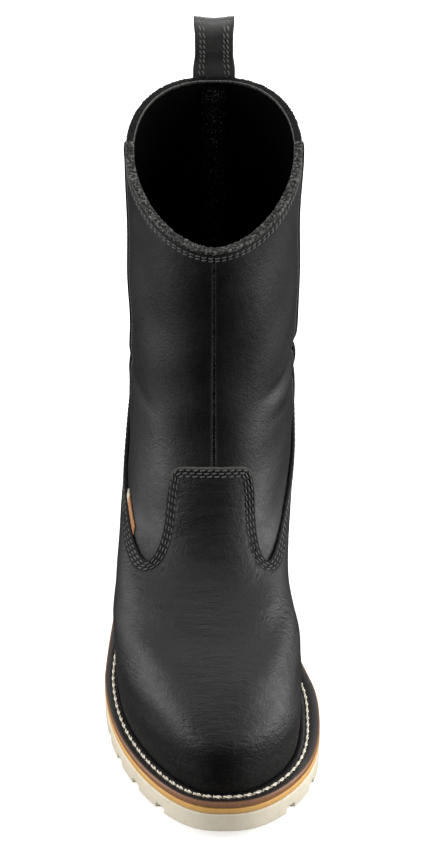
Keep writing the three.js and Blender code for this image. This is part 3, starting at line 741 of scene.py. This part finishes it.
def soften(angle, level):
    # slow unevenness of lasted leather, in millimetres
    return (0.5 * np.sin(3.1 * angle + 1.7 * level + 0.6) * np.sin(2.3 * level + 0.8)
            + 0.35 * np.sin(7.3 * angle - 2.1 * level) * np.sin(4.7 * level + 1.9 * angle))


random.seed(11)
creases = [{
    "level": 3.95 + 0.11 * k + random.uniform(-0.03, 0.03),
    "turn": random.uniform(-14, 14) * degree, "half": random.uniform(11, 26) * degree,
    "slope": random.uniform(-0.1, 0.1), "wave": random.uniform(5, 11),
    "phase": random.uniform(0, 6), "depth": random.uniform(0.16, 0.34),
} for k in range(14)]


def vampSwell(angle, level, fromEdge):
    out = soften(angle, level) * 0.7 * smooth((level - 0.6) / 1.2)
    for c in creases:
        reach = (angle - c["turn"]) / c["half"]
        line = c["level"] + c["slope"] * reach + 0.035 * np.sin(c["wave"] * angle + c["phase"])
        away = (level - line) * 21   # about millimetres
        fade = np.exp(-reach ** 2 * 1.6)
        out = out - c["depth"] * fade * (np.exp(-(away / 0.55) ** 2)
                                         - 0.55 * np.exp(-((away - 1.3) / 0.9) ** 2))
    # fine wrinkles across the throat, under the tongue's top
    ripple = np.sin(level * 62 + 2.4 * np.sin(angle * 9 + level * 3) + 1.5 * np.sin(angle * 23))
    patch = 0.5 + 0.5 * np.sin(angle * 13 + 2.1 * np.sin(level * 6)) * np.sin(level * 9 + angle * 5)
    reach = smooth((level - 4.1) / 0.5) * (1 - smooth((level - 5.3) / 0.25))
    reach = reach * (1 - smooth((np.abs(angle) / degree - 15) / 9))
    out = out + 0.15 * ripple * patch * reach
    return out * smooth(fromEdge / 2.5)


def foxingSwell(angle, level, fromEdge):
    return soften(angle, level) * 0.5 * smooth((level - 0.6) / 1.2) * smooth(fromEdge / 2.5)


def shaftSwell(angle, level, fromEdge):
    out = soften(angle * 0.8, level * 1.3) * 1.3 * smooth((topLevel - level) / 0.1)
    side = np.sin(angle)
    # the ankle folds: a pinch on each side with a bulge under it
    for sign, at, depth, wide in ((1, 6.36, 1.7, 24), (-1, 6.2, 0.7, 30), (1, 6.05, 0.5, 18)):
        away = (level - at) * 42
        face = smooth((side * sign - 0.45) / 0.5)
        out = out - depth * face * (np.exp(-(away / 3.2) ** 2)
                                    - 0.45 * np.exp(-((away + 7) / 6) ** 2))
    return out


seamTurn = upper["seamGap"] / 2 / upper["shaftRadius"]
sideSeam, wingSeam = upper["sideSeam"], upper["wingSeam"]
wingIn = wingSeam - seamTurn


def vampCurve(angle):
    return formPoint(angle, vampTop(angle))


def tonguePale(angle, level):
    return (1 - smooth((np.abs(angle) / degree - 22) / 3)) * smooth((level - 5.4) / 0.15)


vampAngles = evenly(vampCurve, -wingIn, wingIn, upper["grid"])
vamp = leatherPiece("vamp_skin", vampAngles, -0.9, vampTop(vampAngles), 128, 0.4, skinOut,
                    looks["vamp"], "vamp_leather", vampSwell, rows=upper["rowsFromEdge"],
                    paleEdge=tonguePale)
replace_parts(vamp, "vamp")

foxingFrom, foxingTo = wingSeam + seamTurn, 2 * math.pi - wingSeam - seamTurn
foxingAngles = evenly(atLevel(2.5), foxingFrom, foxingTo, 1.5)
foxing = leatherPiece("heel_foxing_skin", foxingAngles, -0.9, upper["foxingLevel"], 64, 0.4,
                      skinOut, looks["vamp"], "vamp_leather", foxingSwell,
                      rows=upper["rowsFromEdge"][:2])
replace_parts(foxing, "heel_foxing")

frontTurn = upper["frontGap"] / 2 / upper["shaftRadius"]
shaftParts = (("front", frontTurn, sideSeam - seamTurn, 1.6, 4.15, 110),
              ("back", sideSeam + seamTurn, math.pi - seamTurn, 1.8, 4.6, 84))
pipeHalf = upper["pipingHalf"] / upper["pipingRadius"]
for side, sign in (("medial", 1), ("lateral", -1)):
    for part, start, end, spacing, low, count in shaftParts:
        angles = evenly(atLevel(7), *sorted((sign * start, sign * end)), spacing)
        panel = leatherPiece(f"shaft_{part}_{side}_skin", angles, low, topLevel, count, -2, 0,
                             looks["shaft"], "shaft_leather", shaftSwell)
        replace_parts(panel, f"shaft_{part}_{side}")
    angles = np.linspace(sign * sideSeam - pipeHalf, sign * sideSeam + pipeHalf, 8)
    piping = leatherPiece(f"side_piping_{side}_strip", angles, upper["foxingLevel"] + 0.05,
                          topLevel, 90, -0.5, 1.6, looks["shaft"], "shaft_leather",
                          shaftSwell, rounding=0.9)
    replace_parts(piping, f"side_piping_{side}")

stayHalf = upper["stayHalf"] / upper["backRadius"]
stayAngles = np.linspace(math.pi - stayHalf, math.pi + stayHalf, 24)
backstay = leatherPiece("backstay_strip", stayAngles, upper["foxingLevel"] + 0.05, topLevel, 90,
                        0.4, skinOut, looks["shaft"], "shaft_leather",
                        rows=upper["rowsFromEdge"][:2])
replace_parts(backstay, "backstay")
print("leather made")


# A lining with slight ripples on its inner face.
def liningSkin(name, low, high, spacing, rows):
    angles = evenly(atLevel(6), 0, 2 * math.pi, spacing)[:-1]
    angle, level = np.meshgrid(angles, np.linspace(low, high, rows), indexing="ij")
    inside = layerPoint(angle, level, liningIn)
    outside = layerPoint(angle, level, liningOut)
    ripple = 0.25 * np.sin(9 * angle + 5 * level) * np.sin(6 * level + 1.0)
    inside = inside + formNormal(angle, level) * ripple[..., None]
    return loft(name, np.concatenate([outside, inside[:, ::-1]], 1), looks["lining"], "lining",
                True)


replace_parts(liningSkin("shaft_lining_skin", 5.03, topLevel, 2.4, 44), "shaft_lining")
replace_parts(liningSkin("foot_lining_skin", 0.28, 4.97, 3.0, 52), "foot_lining")

tape = {"half": 9 / upper["backRadius"], "low": 3.7, "flecks": 1300, "spread": 0.5}
tapeAngles = np.linspace(math.pi - tape["half"], math.pi + tape["half"], 16)
angle, level = np.meshgrid(tapeAngles, np.linspace(tape["low"], topLevel - 0.01, 110),
                           indexing="ij")
front = layerPoint(angle, level, tapeIn - 0.22 * np.sin(level * 44 * 1.6))
back = layerPoint(angle, level, tapeIn + 0.85)
backTape = loft("back_seam_tape_strip", np.concatenate([front, back[:, ::-1]], 1),
                looks["tape"], "tape")
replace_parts(backTape, "back_seam_tape")

# Short pale fibres that stand off the tape, in a loose herringbone.
random.seed(5)
lines = []
for k in range(tape["flecks"]):
    away = max(-0.97, min(0.97, random.gauss(0, tape["spread"])))
    level = topLevel - 0.03 - 3.2 * random.random() ** 1.5
    angle = math.pi + away * tape["half"]
    lean = 0.03 * (1 if away > 0 else -1) + random.uniform(-0.01, 0.01)
    reach = random.uniform(0.012, 0.03)
    points, normals = onForm([angle - lean / 2, angle + lean / 2],
                             [level - reach, level + reach], tapeIn - 0.35)
    lines.append((points, -normals))
stitchObject("back_seam_tape_fibres", lines, looks["fibre"], "tape",
             {"pitch": 9, "length": 1.0, "radius": 0.09, "rise": 0.1})
print("linings made")


# Foam pad that rounds off the rear edge of the steel cap.
capPad = {"half": 79 * degree, "gap": 0.05, "wide": 0.22, "round": 0.9}


def capRear(angle):
    return mix(3.35, 1.4, smooth((np.abs(angle) / degree - 20) / 62))


padAngles = evenly(lambda a: formPoint(a, capRear(a)), -capPad["half"], capPad["half"], 1.5)
edgePad = leatherPiece("toe_cap_edge_cushion", padAngles, capRear(padAngles) + capPad["gap"],
                       capRear(padAngles) + capPad["wide"], 12, -2, 0, looks["foam"], "foam",
                       cutEdges="top bottom left right", rounding=capPad["round"])
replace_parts(edgePad, "toe_cap_edge_pad")

# Removable footbed: a moulded pad with a cupped heel under a sewn fabric cover.
bed = {"inset": 6.2, "cup": 1.3, "ball": 0.7, "channel": 0.9, "quilt": 8.5, "spacing": 2.5}


# The lowest and highest points of a frame node along the foot.
def heightsOf(node):
    points = np.array([v.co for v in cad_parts[node].data.vertices]) / metre
    places = np.unique(np.round(points[:, 1], 1))
    near = [points[np.abs(points[:, 1] - place) < 0.08, 2] for place in places]
    return places, [z.min() for z in near], [z.max() for z in near]


def bedDip(share, x, y):
    heel = smooth((y - heelY + 95) / 30) * (1 - smooth((y - heelY + 22) / 14))
    ballDip = np.exp(-((y - ballY) / 26) ** 2)
    sunk = (bed["cup"] * heel + bed["ball"] * ballDip) * (1 - share ** 2)
    channel = bed["channel"] * np.exp(-((share - 0.86) / 0.035) ** 2)
    cross = np.abs(np.sin(math.pi * (x + y) / bed["quilt"])) * np.abs(
        np.sin(math.pi * (x - y) / bed["quilt"]))
    quilt = 0.35 * (1 - np.minimum(1, cross * 5)) * (share < 0.83) * (1 - heel)
    return sunk + channel + quilt


def bedPiece(name, node, look, slot):
    places, low, high = heightsOf(node)
    rim = lambda a: layerPoint(a, 0, -bed["inset"])
    ring = rim(evenly(rim, 0, 2 * math.pi, bed["spacing"])[:-1])
    y = ring[:, 1]
    middle = centreX(y)
    base, top = np.interp(y, places, low), np.interp(y, places, high)
    rows = [(0, 0), (0.6, 0), (0.95, 0), (0.99, 0.08), (1, 0.35), (1, 0.65), (0.99, 0.9)]
    rows += [(share, 1) for share in np.linspace(0.96, 0, 30)]
    columns = []
    for share, height in rows:
        x = middle + (ring[:, 0] - middle) * share
        z = mix(base, top, height) - bedDip(share, x, y)
        columns.append(np.stack([x, y, z], -1))
    made = makeObject(name, np.stack(columns, 1), gridFaces(len(ring), len(rows), closed=True),
                      look, slot, "footbed")
    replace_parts(made, node)


bedPiece("footbed_moulded_pad", "footbed", looks["foam"], "foam")
bedPiece("footbed_quilted_cover", "footbed_cover", looks["cover"], "lining")
print("footbed made")

# Raw topline edges, worn fuzzy, with painted highlight lines along their top corners.
collar = {"outer": 0.35, "inner": -3.9, "low": 0.2, "high": 2.5, "fuzz": 0.24, "step": 0.5,
          "corners": 20, "square": 0.45, "gap": 0.08}


# Half widths and heights round a section whose corners get squarer with smaller powers.
def sectionCorners(count, widePower, tallPower):
    turns = [2 * math.pi * k / count for k in range(count)]
    return [(math.copysign(abs(math.cos(t)) ** widePower, math.cos(t)),
             math.copysign(abs(math.sin(t)) ** tallPower, math.sin(t))) for t in turns]


def collarPiece(side, start, end, seed, look):
    angles = evenly(atLevel(topLevel), start, end, collar["step"])
    middle = (collar["outer"] + collar["inner"]) / 2, (collar["low"] + collar["high"]) / 2
    half = (collar["outer"] - collar["inner"]) / 2, (collar["high"] - collar["low"]) / 2
    section = sectionCorners(collar["corners"], collar["square"], collar["square"])
    shape = (len(angles), len(section))
    fuzz = np.random.default_rng(seed).normal(0, collar["fuzz"], shape)
    fuzz = np.clip(fuzz + np.roll(fuzz, 1, 0) * 0.5, -0.45, 0.4)
    ends = smooth(np.minimum(np.arange(shape[0]), np.arange(shape[0])[::-1]) / 3)
    shrink = (0.94 + 0.06 * ends)[:, None]
    wide, tall = np.array(section).T
    out = middle[0] + half[0] * wide * (1 + fuzz / 3) * shrink
    lift = middle[1] + half[1] * tall * (1 + fuzz * 0.75) * shrink
    points = layerPoint(np.broadcast_to(angles[:, None], shape), topLevel, out)
    points[..., 2] += lift
    made = loft(f"{side}_collar_raw_edge", points, looks[look], "raw_edge")
    # Painted highlight lines along the section's two top corners.
    turns = 2 * math.pi * np.arange(len(section)) / len(section)
    line = np.exp(-((np.abs(np.cos(turns)) - 0.85) / 0.1) ** 2) * (np.sin(turns) > 0)
    addAttribute(made, "rimLine", np.tile(line, shape[0]))
    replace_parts(made, f"{side}_collar_edge")


cut = collar["gap"] / 2 / upper["shaftRadius"]
frontEnd, backEnd = sideSeam - cut, sideSeam + cut
collarPiece("front", -frontEnd, frontEnd, 3, "edge")
collarPiece("back", backEnd, 2 * math.pi - backEnd, 4, "backEdge")
print("topline made")


# Rows of stitching at distances in from an edge of the leather.
seamRow = {"pitch": 3.8, "length": 2.7, "radius": 0.38, "rise": 0.0}
toplineRow = {"pitch": 3.3, "length": 2.6, "radius": 0.4, "rise": 0.1}
sideRow = {"pitch": 3.6, "length": 2.8, "radius": 0.42, "rise": 0.05}
twoRows = upper["rowsFromEdge"][:2]


def rowsFrom(angle, level, insets, sign, out=skinOut):
    return [onForm(*offsetPath(angle, level, inset * sign), out) for inset in insets]


def sewSeam(name, lines, settings=seamRow, lean=0.16):
    stitchObject(name, lines, looks["seamThread"], "seam_thread", settings, lean)


edgeAngles = evenly(vampCurve, -wingIn, wingIn, 0.7)
edgeAngles = edgeAngles[np.abs(edgeAngles) < wingIn - 0.01]
sewSeam("vamp_stitching", rowsFrom(edgeAngles, vampTop(edgeAngles), upper["rowsFromEdge"], -1))

foxingRows = rowsFrom(np.linspace(foxingFrom + 0.02, foxingTo - 0.02, 260), upper["foxingLevel"],
                      twoRows, -1)
toplineRows, sideRows, stayRows = [], [], []
for start, end in ((-sideSeam, sideSeam), (sideSeam, 2 * math.pi - sideSeam)):
    arc = np.linspace(start + 0.06, end - 0.06, 300)
    toplineRows += rowsFrom(arc, topLevel, (1.9, 3.5), -1, 0.1)
for sign in (1, -1):
    climb = np.linspace(0.15, upper["foxingLevel"] - 0.12, 160)
    foxingRows += rowsFrom(math.pi + sign * (math.pi - wingSeam - seamTurn), climb, twoRows, sign)
    climb = np.linspace(upper["foxingLevel"] + 0.12, topLevel - 0.15, 200)
    for turn in (-0.105, -0.065, 0.065):
        angle = sign * (sideSeam + turn)
        points, normals = onForm(angle, climb, 0.0)
        lift = shaftSwell(angle, climb, None)
        sideRows.append((points + normals * (lift[:, None] + 0.1), normals))
    climb = np.linspace(upper["foxingLevel"] + 0.12, topLevel - 0.1, 200)
    stayRows += rowsFrom(math.pi + sign * stayHalf, climb, twoRows, sign)
sewSeam("foxing_stitching", foxingRows)
sewSeam("topline_stitching", toplineRows, toplineRow)
sewSeam("side_seam_stitching", sideRows, sideRow, 0.12)
sewSeam("backstay_stitching", stayRows)
print("stitching made")

# Pull loop.
strap = {"width": 21, "thick": 2, "drop": 40, "rows": (5.5, 7.4), "sag": 1.7,
         "stitches": {"pitch": 3.7, "length": 2.9, "radius": 0.45, "rise": 0.05}}
loopMid = (loopLow.y + loopHigh.y) / 2
crownRadius = (loopHigh.y - loopLow.y) / 2 - strap["thick"] / 2
crownZ = loopHigh.z - crownRadius - strap["thick"] / 2
foldZ = loopLow.z - 1
legDrop = strap["drop"] / (form["rimBackZ"] - lowShaftZ)


def curveThrough(knots, count):
    knots = np.array(knots, float)
    run = pathLengths(knots)
    at = np.linspace(0, run[-1], count)
    return np.stack([through(list(zip(run, knots[:, k])), at) for k in range(2)], -1)


def legKnots(out, low):
    return [tuple(layerPoint(math.pi, level, np.array(out))[1:])
            for level in np.linspace(low, topLevel - 0.03, 5)]


crown = [(loopMid + crownRadius * math.cos(t), crownZ + crownRadius * math.sin(t))
         for t in np.linspace(0, math.pi, 7)]
rise = [(1.25, 3), (1.35, 6.5), (2.7, 11), (4.6, 15)]
outerSide = [(loopMid + y, foldZ + z) for y, z in rise]
innerSide = [(loopMid - y, foldZ + z) for y, z in reversed(rise)]
route = (legKnots(6.2, topLevel - legDrop) + outerSide + crown + innerSide
         + legKnots(3.8, topLevel - legDrop * 0.95)[::-1])
strapLine = curveThrough(route, 150)


# Points across the strap: share -1..1 of its width, lift along its own normal.
def strapPoint(line, share, lift):
    tangent = unit(np.gradient(line, axis=0))
    normal = np.stack([tangent[:, 1], -tangent[:, 0]], -1)
    z = line[:, 1]
    up = smooth((z - form["rimBackZ"] + 2) / 16)
    crownShare = smooth((z - crownZ) / crownRadius)
    half = strap["width"] / 2 * (1 + 0.07 * (1 - smooth((z - foldZ) / 9)) - 0.035 * smooth(
        (z - foldZ - 2) / 10) * (1 - crownShare) + 0.02 * crownShare)
    x = share * half
    bend = mix(1, 0.12, up) * x ** 2 / (2 * 34)
    sag = strap["sag"] * (1 - share ** 2) * crownShare * up
    return np.stack([x, line[:, 0] + normal[:, 0] * lift - bend,
                     z + normal[:, 1] * lift - sag], -1)


section = []
for share, tall in sectionCorners(28, 0.28, 0.5):
    lift = strap["thick"] / 2 * tall
    row = min(abs(abs(share) * strap["width"] / 2 - r) for r in strap["rows"])
    section.append((share, lift * (1 - 0.22 * math.exp(-(row / 0.6) ** 2))))
columns = np.stack([strapPoint(strapLine, share, lift) for share, lift in section], 1)
pullStrap = loft("pull_loop_strap", columns, looks["pull"], "pull_leather", rideOn=None)
# Painted shade: the strap's rounded edges are marked to be darkened in its colour.
edge = np.array([math.exp(-((1 - abs(share)) / 0.06) ** 2) for share, lift in section])
addAttribute(pullStrap, "seamBand", np.tile(edge, len(strapLine)))

loopLines = []
for row, sign, face in itertools.product(strap["rows"], (1, -1), (1, -1)):
    share = sign * row / (strap["width"] / 2)
    points = strapPoint(strapLine, share, face * strap["thick"] / 2 * 0.86)
    normals = strapPoint(strapLine, share, face * 2.0) - strapPoint(strapLine, share, 0)
    loopLines.append((points, unit(normals)))
loopStitches = stitchObject("pull_loop_stitching", loopLines, looks["loopThread"], "seam_thread",
                            strap["stitches"], 0.35, None)
for piece in (pullStrap, loopStitches):
    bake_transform(piece)
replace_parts(pullStrap, "pull_loop", "pull_loop_outer_leg", "pull_loop_inner_leg")
print("pull loop made")

# Side label.
label = {"turn": 54.5 * degree, "length": 21, "width": 2.5, "tuck": 2.5, "columns": 46,
         "rows": 12, "endColumns": 9}
half = label["length"] / 2 / upper["vampRadius"]
labelAngles = -label["turn"] + np.linspace(-half, half, label["columns"])
rowsAcross = np.linspace(-label["tuck"], label["width"], label["rows"])
level = np.stack([vampTop(labelAngles) + d / 24 for d in rowsAcross], 1)
angle = np.broadcast_to(labelAngles[:, None], level.shape)
ridge = 0.048 * np.cos(np.linspace(0, 46 * math.pi, label["columns"]))[:, None]
belly = 0.36 * np.sin(np.linspace(0, 1, label["rows"]) * math.pi)[None, :]
front = layerPoint(angle, level, 1.15 + ridge + belly)
back = layerPoint(angle, level, 0.35 + belly)
tab = loft("side_label_tab", np.concatenate([front, back[:, ::-1]], 1), looks["label"], "label")
tab.data.materials.append(looks["labelEnd"])
for polygon in tab.data.polygons:
    if polygon.vertices[0] // (2 * label["rows"]) < label["endColumns"]:
        polygon.material_index = 1
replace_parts(tab, "side_label")
print("label made")

# Sole.
sole = {
    "spacing": 1.5, "notchFirst": 17, "notchPitch": 19, "notchHalf": 2.4, "notchBevel": 1.1,
    "notchDepth": 3.4, "archHeight": 7, "archFront": toeY + 138,
    "breast": heelY - 62, "grooveHalf": 2.2, "grooveDepth": 4.4, "grooveReach": 24,
    "suffix": {"outsole": "tread", "midsole": "layer"},
}
notchPlaces = list(np.arange(toeY + sole["notchFirst"], sole["archFront"] - 8, sole["notchPitch"]))
notchPlaces += list(np.arange(sole["breast"] + 20, heelY - 12, sole["notchPitch"]))


def outlinePoints(angle):
    x, y = solePoint(np.asarray(angle))
    return np.stack([x, y, np.zeros_like(x)], -1)


halfTurn = evenly(outlinePoints, 0, math.pi, sole["spacing"])
fineTurn = np.linspace(0, math.pi, 6000)
fineY = solePoint(fineTurn)[1]
sideRuns = {sign: pathLengths(outlinePoints(sign * fineTurn)) for sign in (1, -1)}
extra = []
for place, run in itertools.product(notchPlaces, sideRuns.values()):
    centre = np.interp(place, fineY, run)
    for step in (1.9, 2.5, 3.1, 3.6):
        extra += [np.interp(centre - step, run, fineTurn), np.interp(centre + step, run, fineTurn)]
halfTurn = np.unique(np.round(np.concatenate([halfTurn, extra]), 5))
soleTurn = np.concatenate([halfTurn, -halfTurn[::-1][1:-1]])


# How much of a notch there is at each place round the outline.
def notchShare(turn):
    share = np.zeros(turn.shape)
    for sign, run in sideRuns.items():
        here = np.interp(np.abs(turn), fineTurn, run)
        for place in notchPlaces:
            centre = np.interp(place, fineY, run)
            inside = 1 - smooth((np.abs(here - centre) - sole["notchHalf"]) / sole["notchBevel"])
            share = np.where(turn * sign >= 0, np.maximum(share, inside), share)
    return share


def treadHeight(x, y):
    arch = sole["archHeight"] * smooth((y - sole["archFront"]) / 5 + 0.5) * (
        1 - smooth((y - sole["breast"]) / 2.5 + 0.5))
    groove = np.zeros(y.shape)
    for place in notchPlaces:
        across = 1 - smooth((np.abs(y - place) - sole["grooveHalf"]) / 0.8 + 0.5)
        along = 1 - smooth((np.abs(x - centreX(y)) - sole["grooveReach"]) / 1.2 + 0.5)
        groove = np.maximum(groove, across * along)
    return toeLift(y) + np.maximum(arch, groove * sole["grooveDepth"])


# A layer of the sole. Each column runs from the middle of the bottom, out, up the side and back
# to the middle; a side row is how far it stands in from the outline, and its height at a y.
def soleLayer(name, sideRows, bottomShares, bottomHeight, topHeight):
    rows = [(sideRows[0][0], share, bottomHeight) for share in bottomShares]
    rows += [(inset, 1, lambda x, y, height=height: height(y)) for inset, height in sideRows]
    rows += [(sideRows[-1][0], share, lambda x, y: topHeight(y)) for share in (0.8, 0.4, 0)]
    columns = []
    for inset, share, height in rows:
        x, y = solePoint(soleTurn, inset)
        x = centreX(y) + (x - centreX(y)) * share
        columns.append(np.stack([x, y, height(x, y)], -1))
    piece = makeObject(f"{name}_{sole['suffix'][name]}", np.stack(columns, 1),
                       gridFaces(len(soleTurn), len(rows), True), looks[name], name)
    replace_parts(piece, name)


def fromBottom(above):
    return lambda y: treadHeight(500, y) + above


def midLevel(share):
    return lambda y: mix(midsoleBase(y), midsoleTop(y), share)


notch = notchShare(soleTurn) * sole["notchDepth"]
outsoleRows = [(inset + notch, fromBottom(above)) for inset, above in (
    (0.9, 0), (0.3, 0.2), (0.05, 0.8), (0, 1.6), (0, 2.5))]
outsoleRows += [(cut * notch, lambda y, up=up: np.minimum(toeLift(y) + up, outsoleTop(y) - 2))
                for up, cut in ((3.2, 0.9), (3.7, 0.45), (4.2, 0.05), (5, 0))]
outsoleRows += [(inset, lambda y, below=below: outsoleTop(y) - below) for inset, below in (
    (0, 1.6), (0.1, 0.7), (0.35, 0.2), (0.9, 0))]
soleLayer("outsole", outsoleRows, np.linspace(0, 0.97, 26), treadHeight, outsoleTop)
midsoleRows = [(inset, midLevel(share)) for inset, share in (
    (0.9, 0), (0.45, 0.04), (0.3, 0.25), (0.28, 0.6), (0.35, 0.9), (0.8, 1))]
soleLayer("midsole", midsoleRows, (0, 0.5), lambda x, y: midsoleBase(y), midsoleTop)

# Welt and its stitching.
weltRing = evenly(outlinePoints, 0, 2 * math.pi, 0.5)[:-1]
welt = {"stitchFront": 5, "stitchRear": 4.2, "wheel": 0.13}
weltRows = [(0.9, -4.2, 0), (0.5, -4.0, 1), (0.3, -3.0, 1), (0.25, -1.6, 1), (0.35, -0.8, 1),
            (0.7, -0.25, 0.7), (1.3, 0.0, 0.15), (2.0, 0.05, 0), (2.8, 0.0, 0)]
grooveRows = [(-1.3, 0.0), (-0.8, -0.3), (-0.3, -0.75), (0.3, -0.75), (0.8, -0.3), (1.3, 0.0)]


# The stitching lies closer to the upper where more of the welt shows.
def stitchPlace(turn):
    y = solePoint(turn)[1]
    return (mix(welt["stitchFront"], welt["stitchRear"], rearShare(y))
            + medialExtra(np.sin(turn) >= 0, y) / 2)


columns = []
run = pathLengths(outlinePoints(weltRing))
for inset, height, edge in weltRows:
    x, y = solePoint(weltRing, inset)
    wheel = welt["wheel"] * np.sin(run * 2 * math.pi / 1.6) * math.exp(-((inset - 1.7) / 1.1) ** 2)
    columns.append(np.stack([x, y, weltTop(y) + height + wheel], -1))
for away, height in grooveRows:
    x, y = solePoint(weltRing, stitchPlace(weltRing) + away)
    columns.append(np.stack([x, y, weltTop(y) + height], -1))
for lift in (0.1, -4.2):
    x, y, z = layerPoint(weltRing, 0, skinOut + 0.2).T
    columns.append(np.stack([x, y, weltTop(y) + lift], -1))
band = [edge for inset, height, edge in weltRows]
band += [0] * (len(columns) - len(band))
weltPiece = loft("welt_strip", np.stack(columns, 1), looks["welt"], "welt", True)
addAttribute(weltPiece, "edgeBand", np.tile(band, len(weltRing)))
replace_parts(weltPiece, "welt")

# Lockstitch: each stitch is two strands twisted round each other, dipping into its holes.
lockstitch = {"pitch": 5.3, "length": 5.1, "strand": 0.44, "twist": 0.42, "turns": 0.8}


def weltStitches():
    turn = evenly(outlinePoints, 0, 2 * math.pi, 0.4)
    x, y = solePoint(turn, stitchPlace(turn))
    line = np.stack([x, y, weltTop(y) - 0.12], -1)
    run = pathLengths(line)
    count = int(run[-1] / lockstitch["pitch"])
    points, faces = [], []
    rings, sides = 11, 6
    place = lambda s: np.array([np.interp(s % run[-1], run, line[:, c]) for c in range(3)])
    up = np.array([0, 0, 1.0])
    for k in range(count):
        centre = (k + 0.5) * run[-1] / count
        for strand in (0, math.pi):
            start = len(points)
            for i in range(rings):
                t = i / (rings - 1) * 2 - 1
                s = centre + t * lockstitch["length"] / 2
                at, ahead = place(s), place(s + 0.3)
                along = (ahead - at) / max(np.linalg.norm(ahead - at), 1e-6)
                across = np.cross(up, along)
                spin = strand + t * math.pi * lockstitch["turns"]
                dip = -0.75 * abs(t) ** 5
                middle = (at + across * lockstitch["twist"] * math.cos(spin)
                          + up * (lockstitch["twist"] * math.sin(spin) + dip + 0.25))
                fat = lockstitch["strand"] * math.sqrt(max(0.2, 1 - t ** 6))
                for j in range(sides):
                    a = 2 * math.pi * j / sides
                    points.append(middle + across * fat * math.cos(a) + up * fat * math.sin(a))
            faces += tubeFaces(start, rings, sides)
    return points, faces


weltThread = makeObject("welt_lockstitch", *weltStitches(), looks["weltThread"], "welt_thread")
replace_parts(weltThread, "welt_thread")
print("sole made")

# Finishes of the pieces that stay as the frame has them.
carried = {
    "steel": ("steel_toe_cap", "steel_shank", "shank_rivet_front", "shank_rivet_rear"),
    "board": ("insole_rib", "insole_board", "heel_counter"),
    "cork": ("cork_filler",), "vamp": ("vamp_doubler",),
}
for look, nodes in carried.items():
    for node in nodes:
        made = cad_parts[node]
        made.data.materials.clear()
        made.data.materials.append(looks[look])

# The stage, in metres, degrees and watts. A softbox: place, what it faces, size, power.
studio = {
    "lookAt": (0, 0, 0.14), "elevation": 40, "distance": 1.35, "lens": 108.06,
    "shift": (0.0053, 0.0259), "world": 0.78, "backdrop": 0.85,
    "backdropTone": 0.8, "floorGlow": 0.3, "floor": 30,
    "softboxes": {
        "left": ((-1.5, -0.05, 0.5), (0, 0, 0.14), (0.8, 1.4), 30),
        "right": ((1.5, -0.05, 0.5), (0, 0, 0.14), (0.8, 1.4), 40),
        "rear": ((0.3, 2.2, 0.5), (0, 0, 0.14), (1.2, 0.8), 14),
        "overhead": ((0, 0.9, 2.0), (0, 0, 0.05), (1.6, 1.0), 22),
    },
}


def makeFloor():
    s = Shader("pale floor", Roughness=0.9, Specular_IOR_Level=0.1, Emission_Color=(1, 1, 1, 1),
               Emission_Strength=studio["floorGlow"])
    paper = s.finish(Base_Color=s.blend(s.noise(3, 2), grey(0.86), grey(0.88)))
    size = studio["floor"]
    mesh = bpy.data.meshes.new("floor")
    mesh.from_pydata([(-size, -size, 0), (size, -size, 0), (size, size, 0), (-size, size, 0)], [],
                     [(0, 1, 2, 3)])
    made = bpy.data.objects.new("floor", mesh)
    made.visible_glossy = False    # keeps the black leather from mirroring the white floor
    made.visible_diffuse = False   # and from being lit by it
    bpy.context.scene.collection.objects.link(made)
    mesh.materials.append(paper)


def softbox(name, place, target, size, power):
    data = bpy.data.lights.new(name, "AREA")
    data.shape = "RECTANGLE"
    data.size, data.size_y = size
    data.energy = power
    made = bpy.data.objects.new(name, data)
    made.location = place
    made.rotation_euler = (Vector(target) - Vector(place)).to_track_quat("-Z", "Y").to_euler()
    bpy.context.scene.collection.objects.link(made)


makeFloor()
for name, settings in studio["softboxes"].items():
    softbox(f"{name} softbox", *settings)

world = bpy.data.worlds.new("studio")
bpy.context.scene.world = world
world.use_nodes = True
world.cycles_visibility.glossy = False   # soft fill only, so that the oiled leather stays deep
air = NodeTree(world.node_tree)
fill, seen = [air.node("ShaderNodeBackground", {}, {"Color": colour, "Strength": strength})
              for colour, strength in (((1, 1, 1), studio["world"]),
                                       (grey(studio["backdropTone"]), studio["backdrop"]))]
rays = air.node("ShaderNodeLightPath", {}, {}, "Is Camera Ray")
either = air.node("ShaderNodeMixShader", {}, {"Fac": rays, 1: fill, 2: seen})
air.connect(world.node_tree.nodes["World Output"].inputs["Surface"], either)

tilt = math.radians(studio["elevation"])
cameraData = bpy.data.cameras.new("camera")
camera = bpy.data.objects.new("camera", cameraData)
bpy.context.scene.collection.objects.link(camera)
camera.location = Vector(studio["lookAt"]) + studio["distance"] * Vector(
    (0, -math.cos(tilt), math.sin(tilt)))
camera.rotation_euler = (math.pi / 2 - tilt, 0, 0)
cameraData.lens = studio["lens"]
cameraData.sensor_width = 36
cameraData.shift_x, cameraData.shift_y = studio["shift"]
bpy.context.scene.camera = camera
bpy.context.scene.view_settings.view_transform = "Standard"

print("stage made")
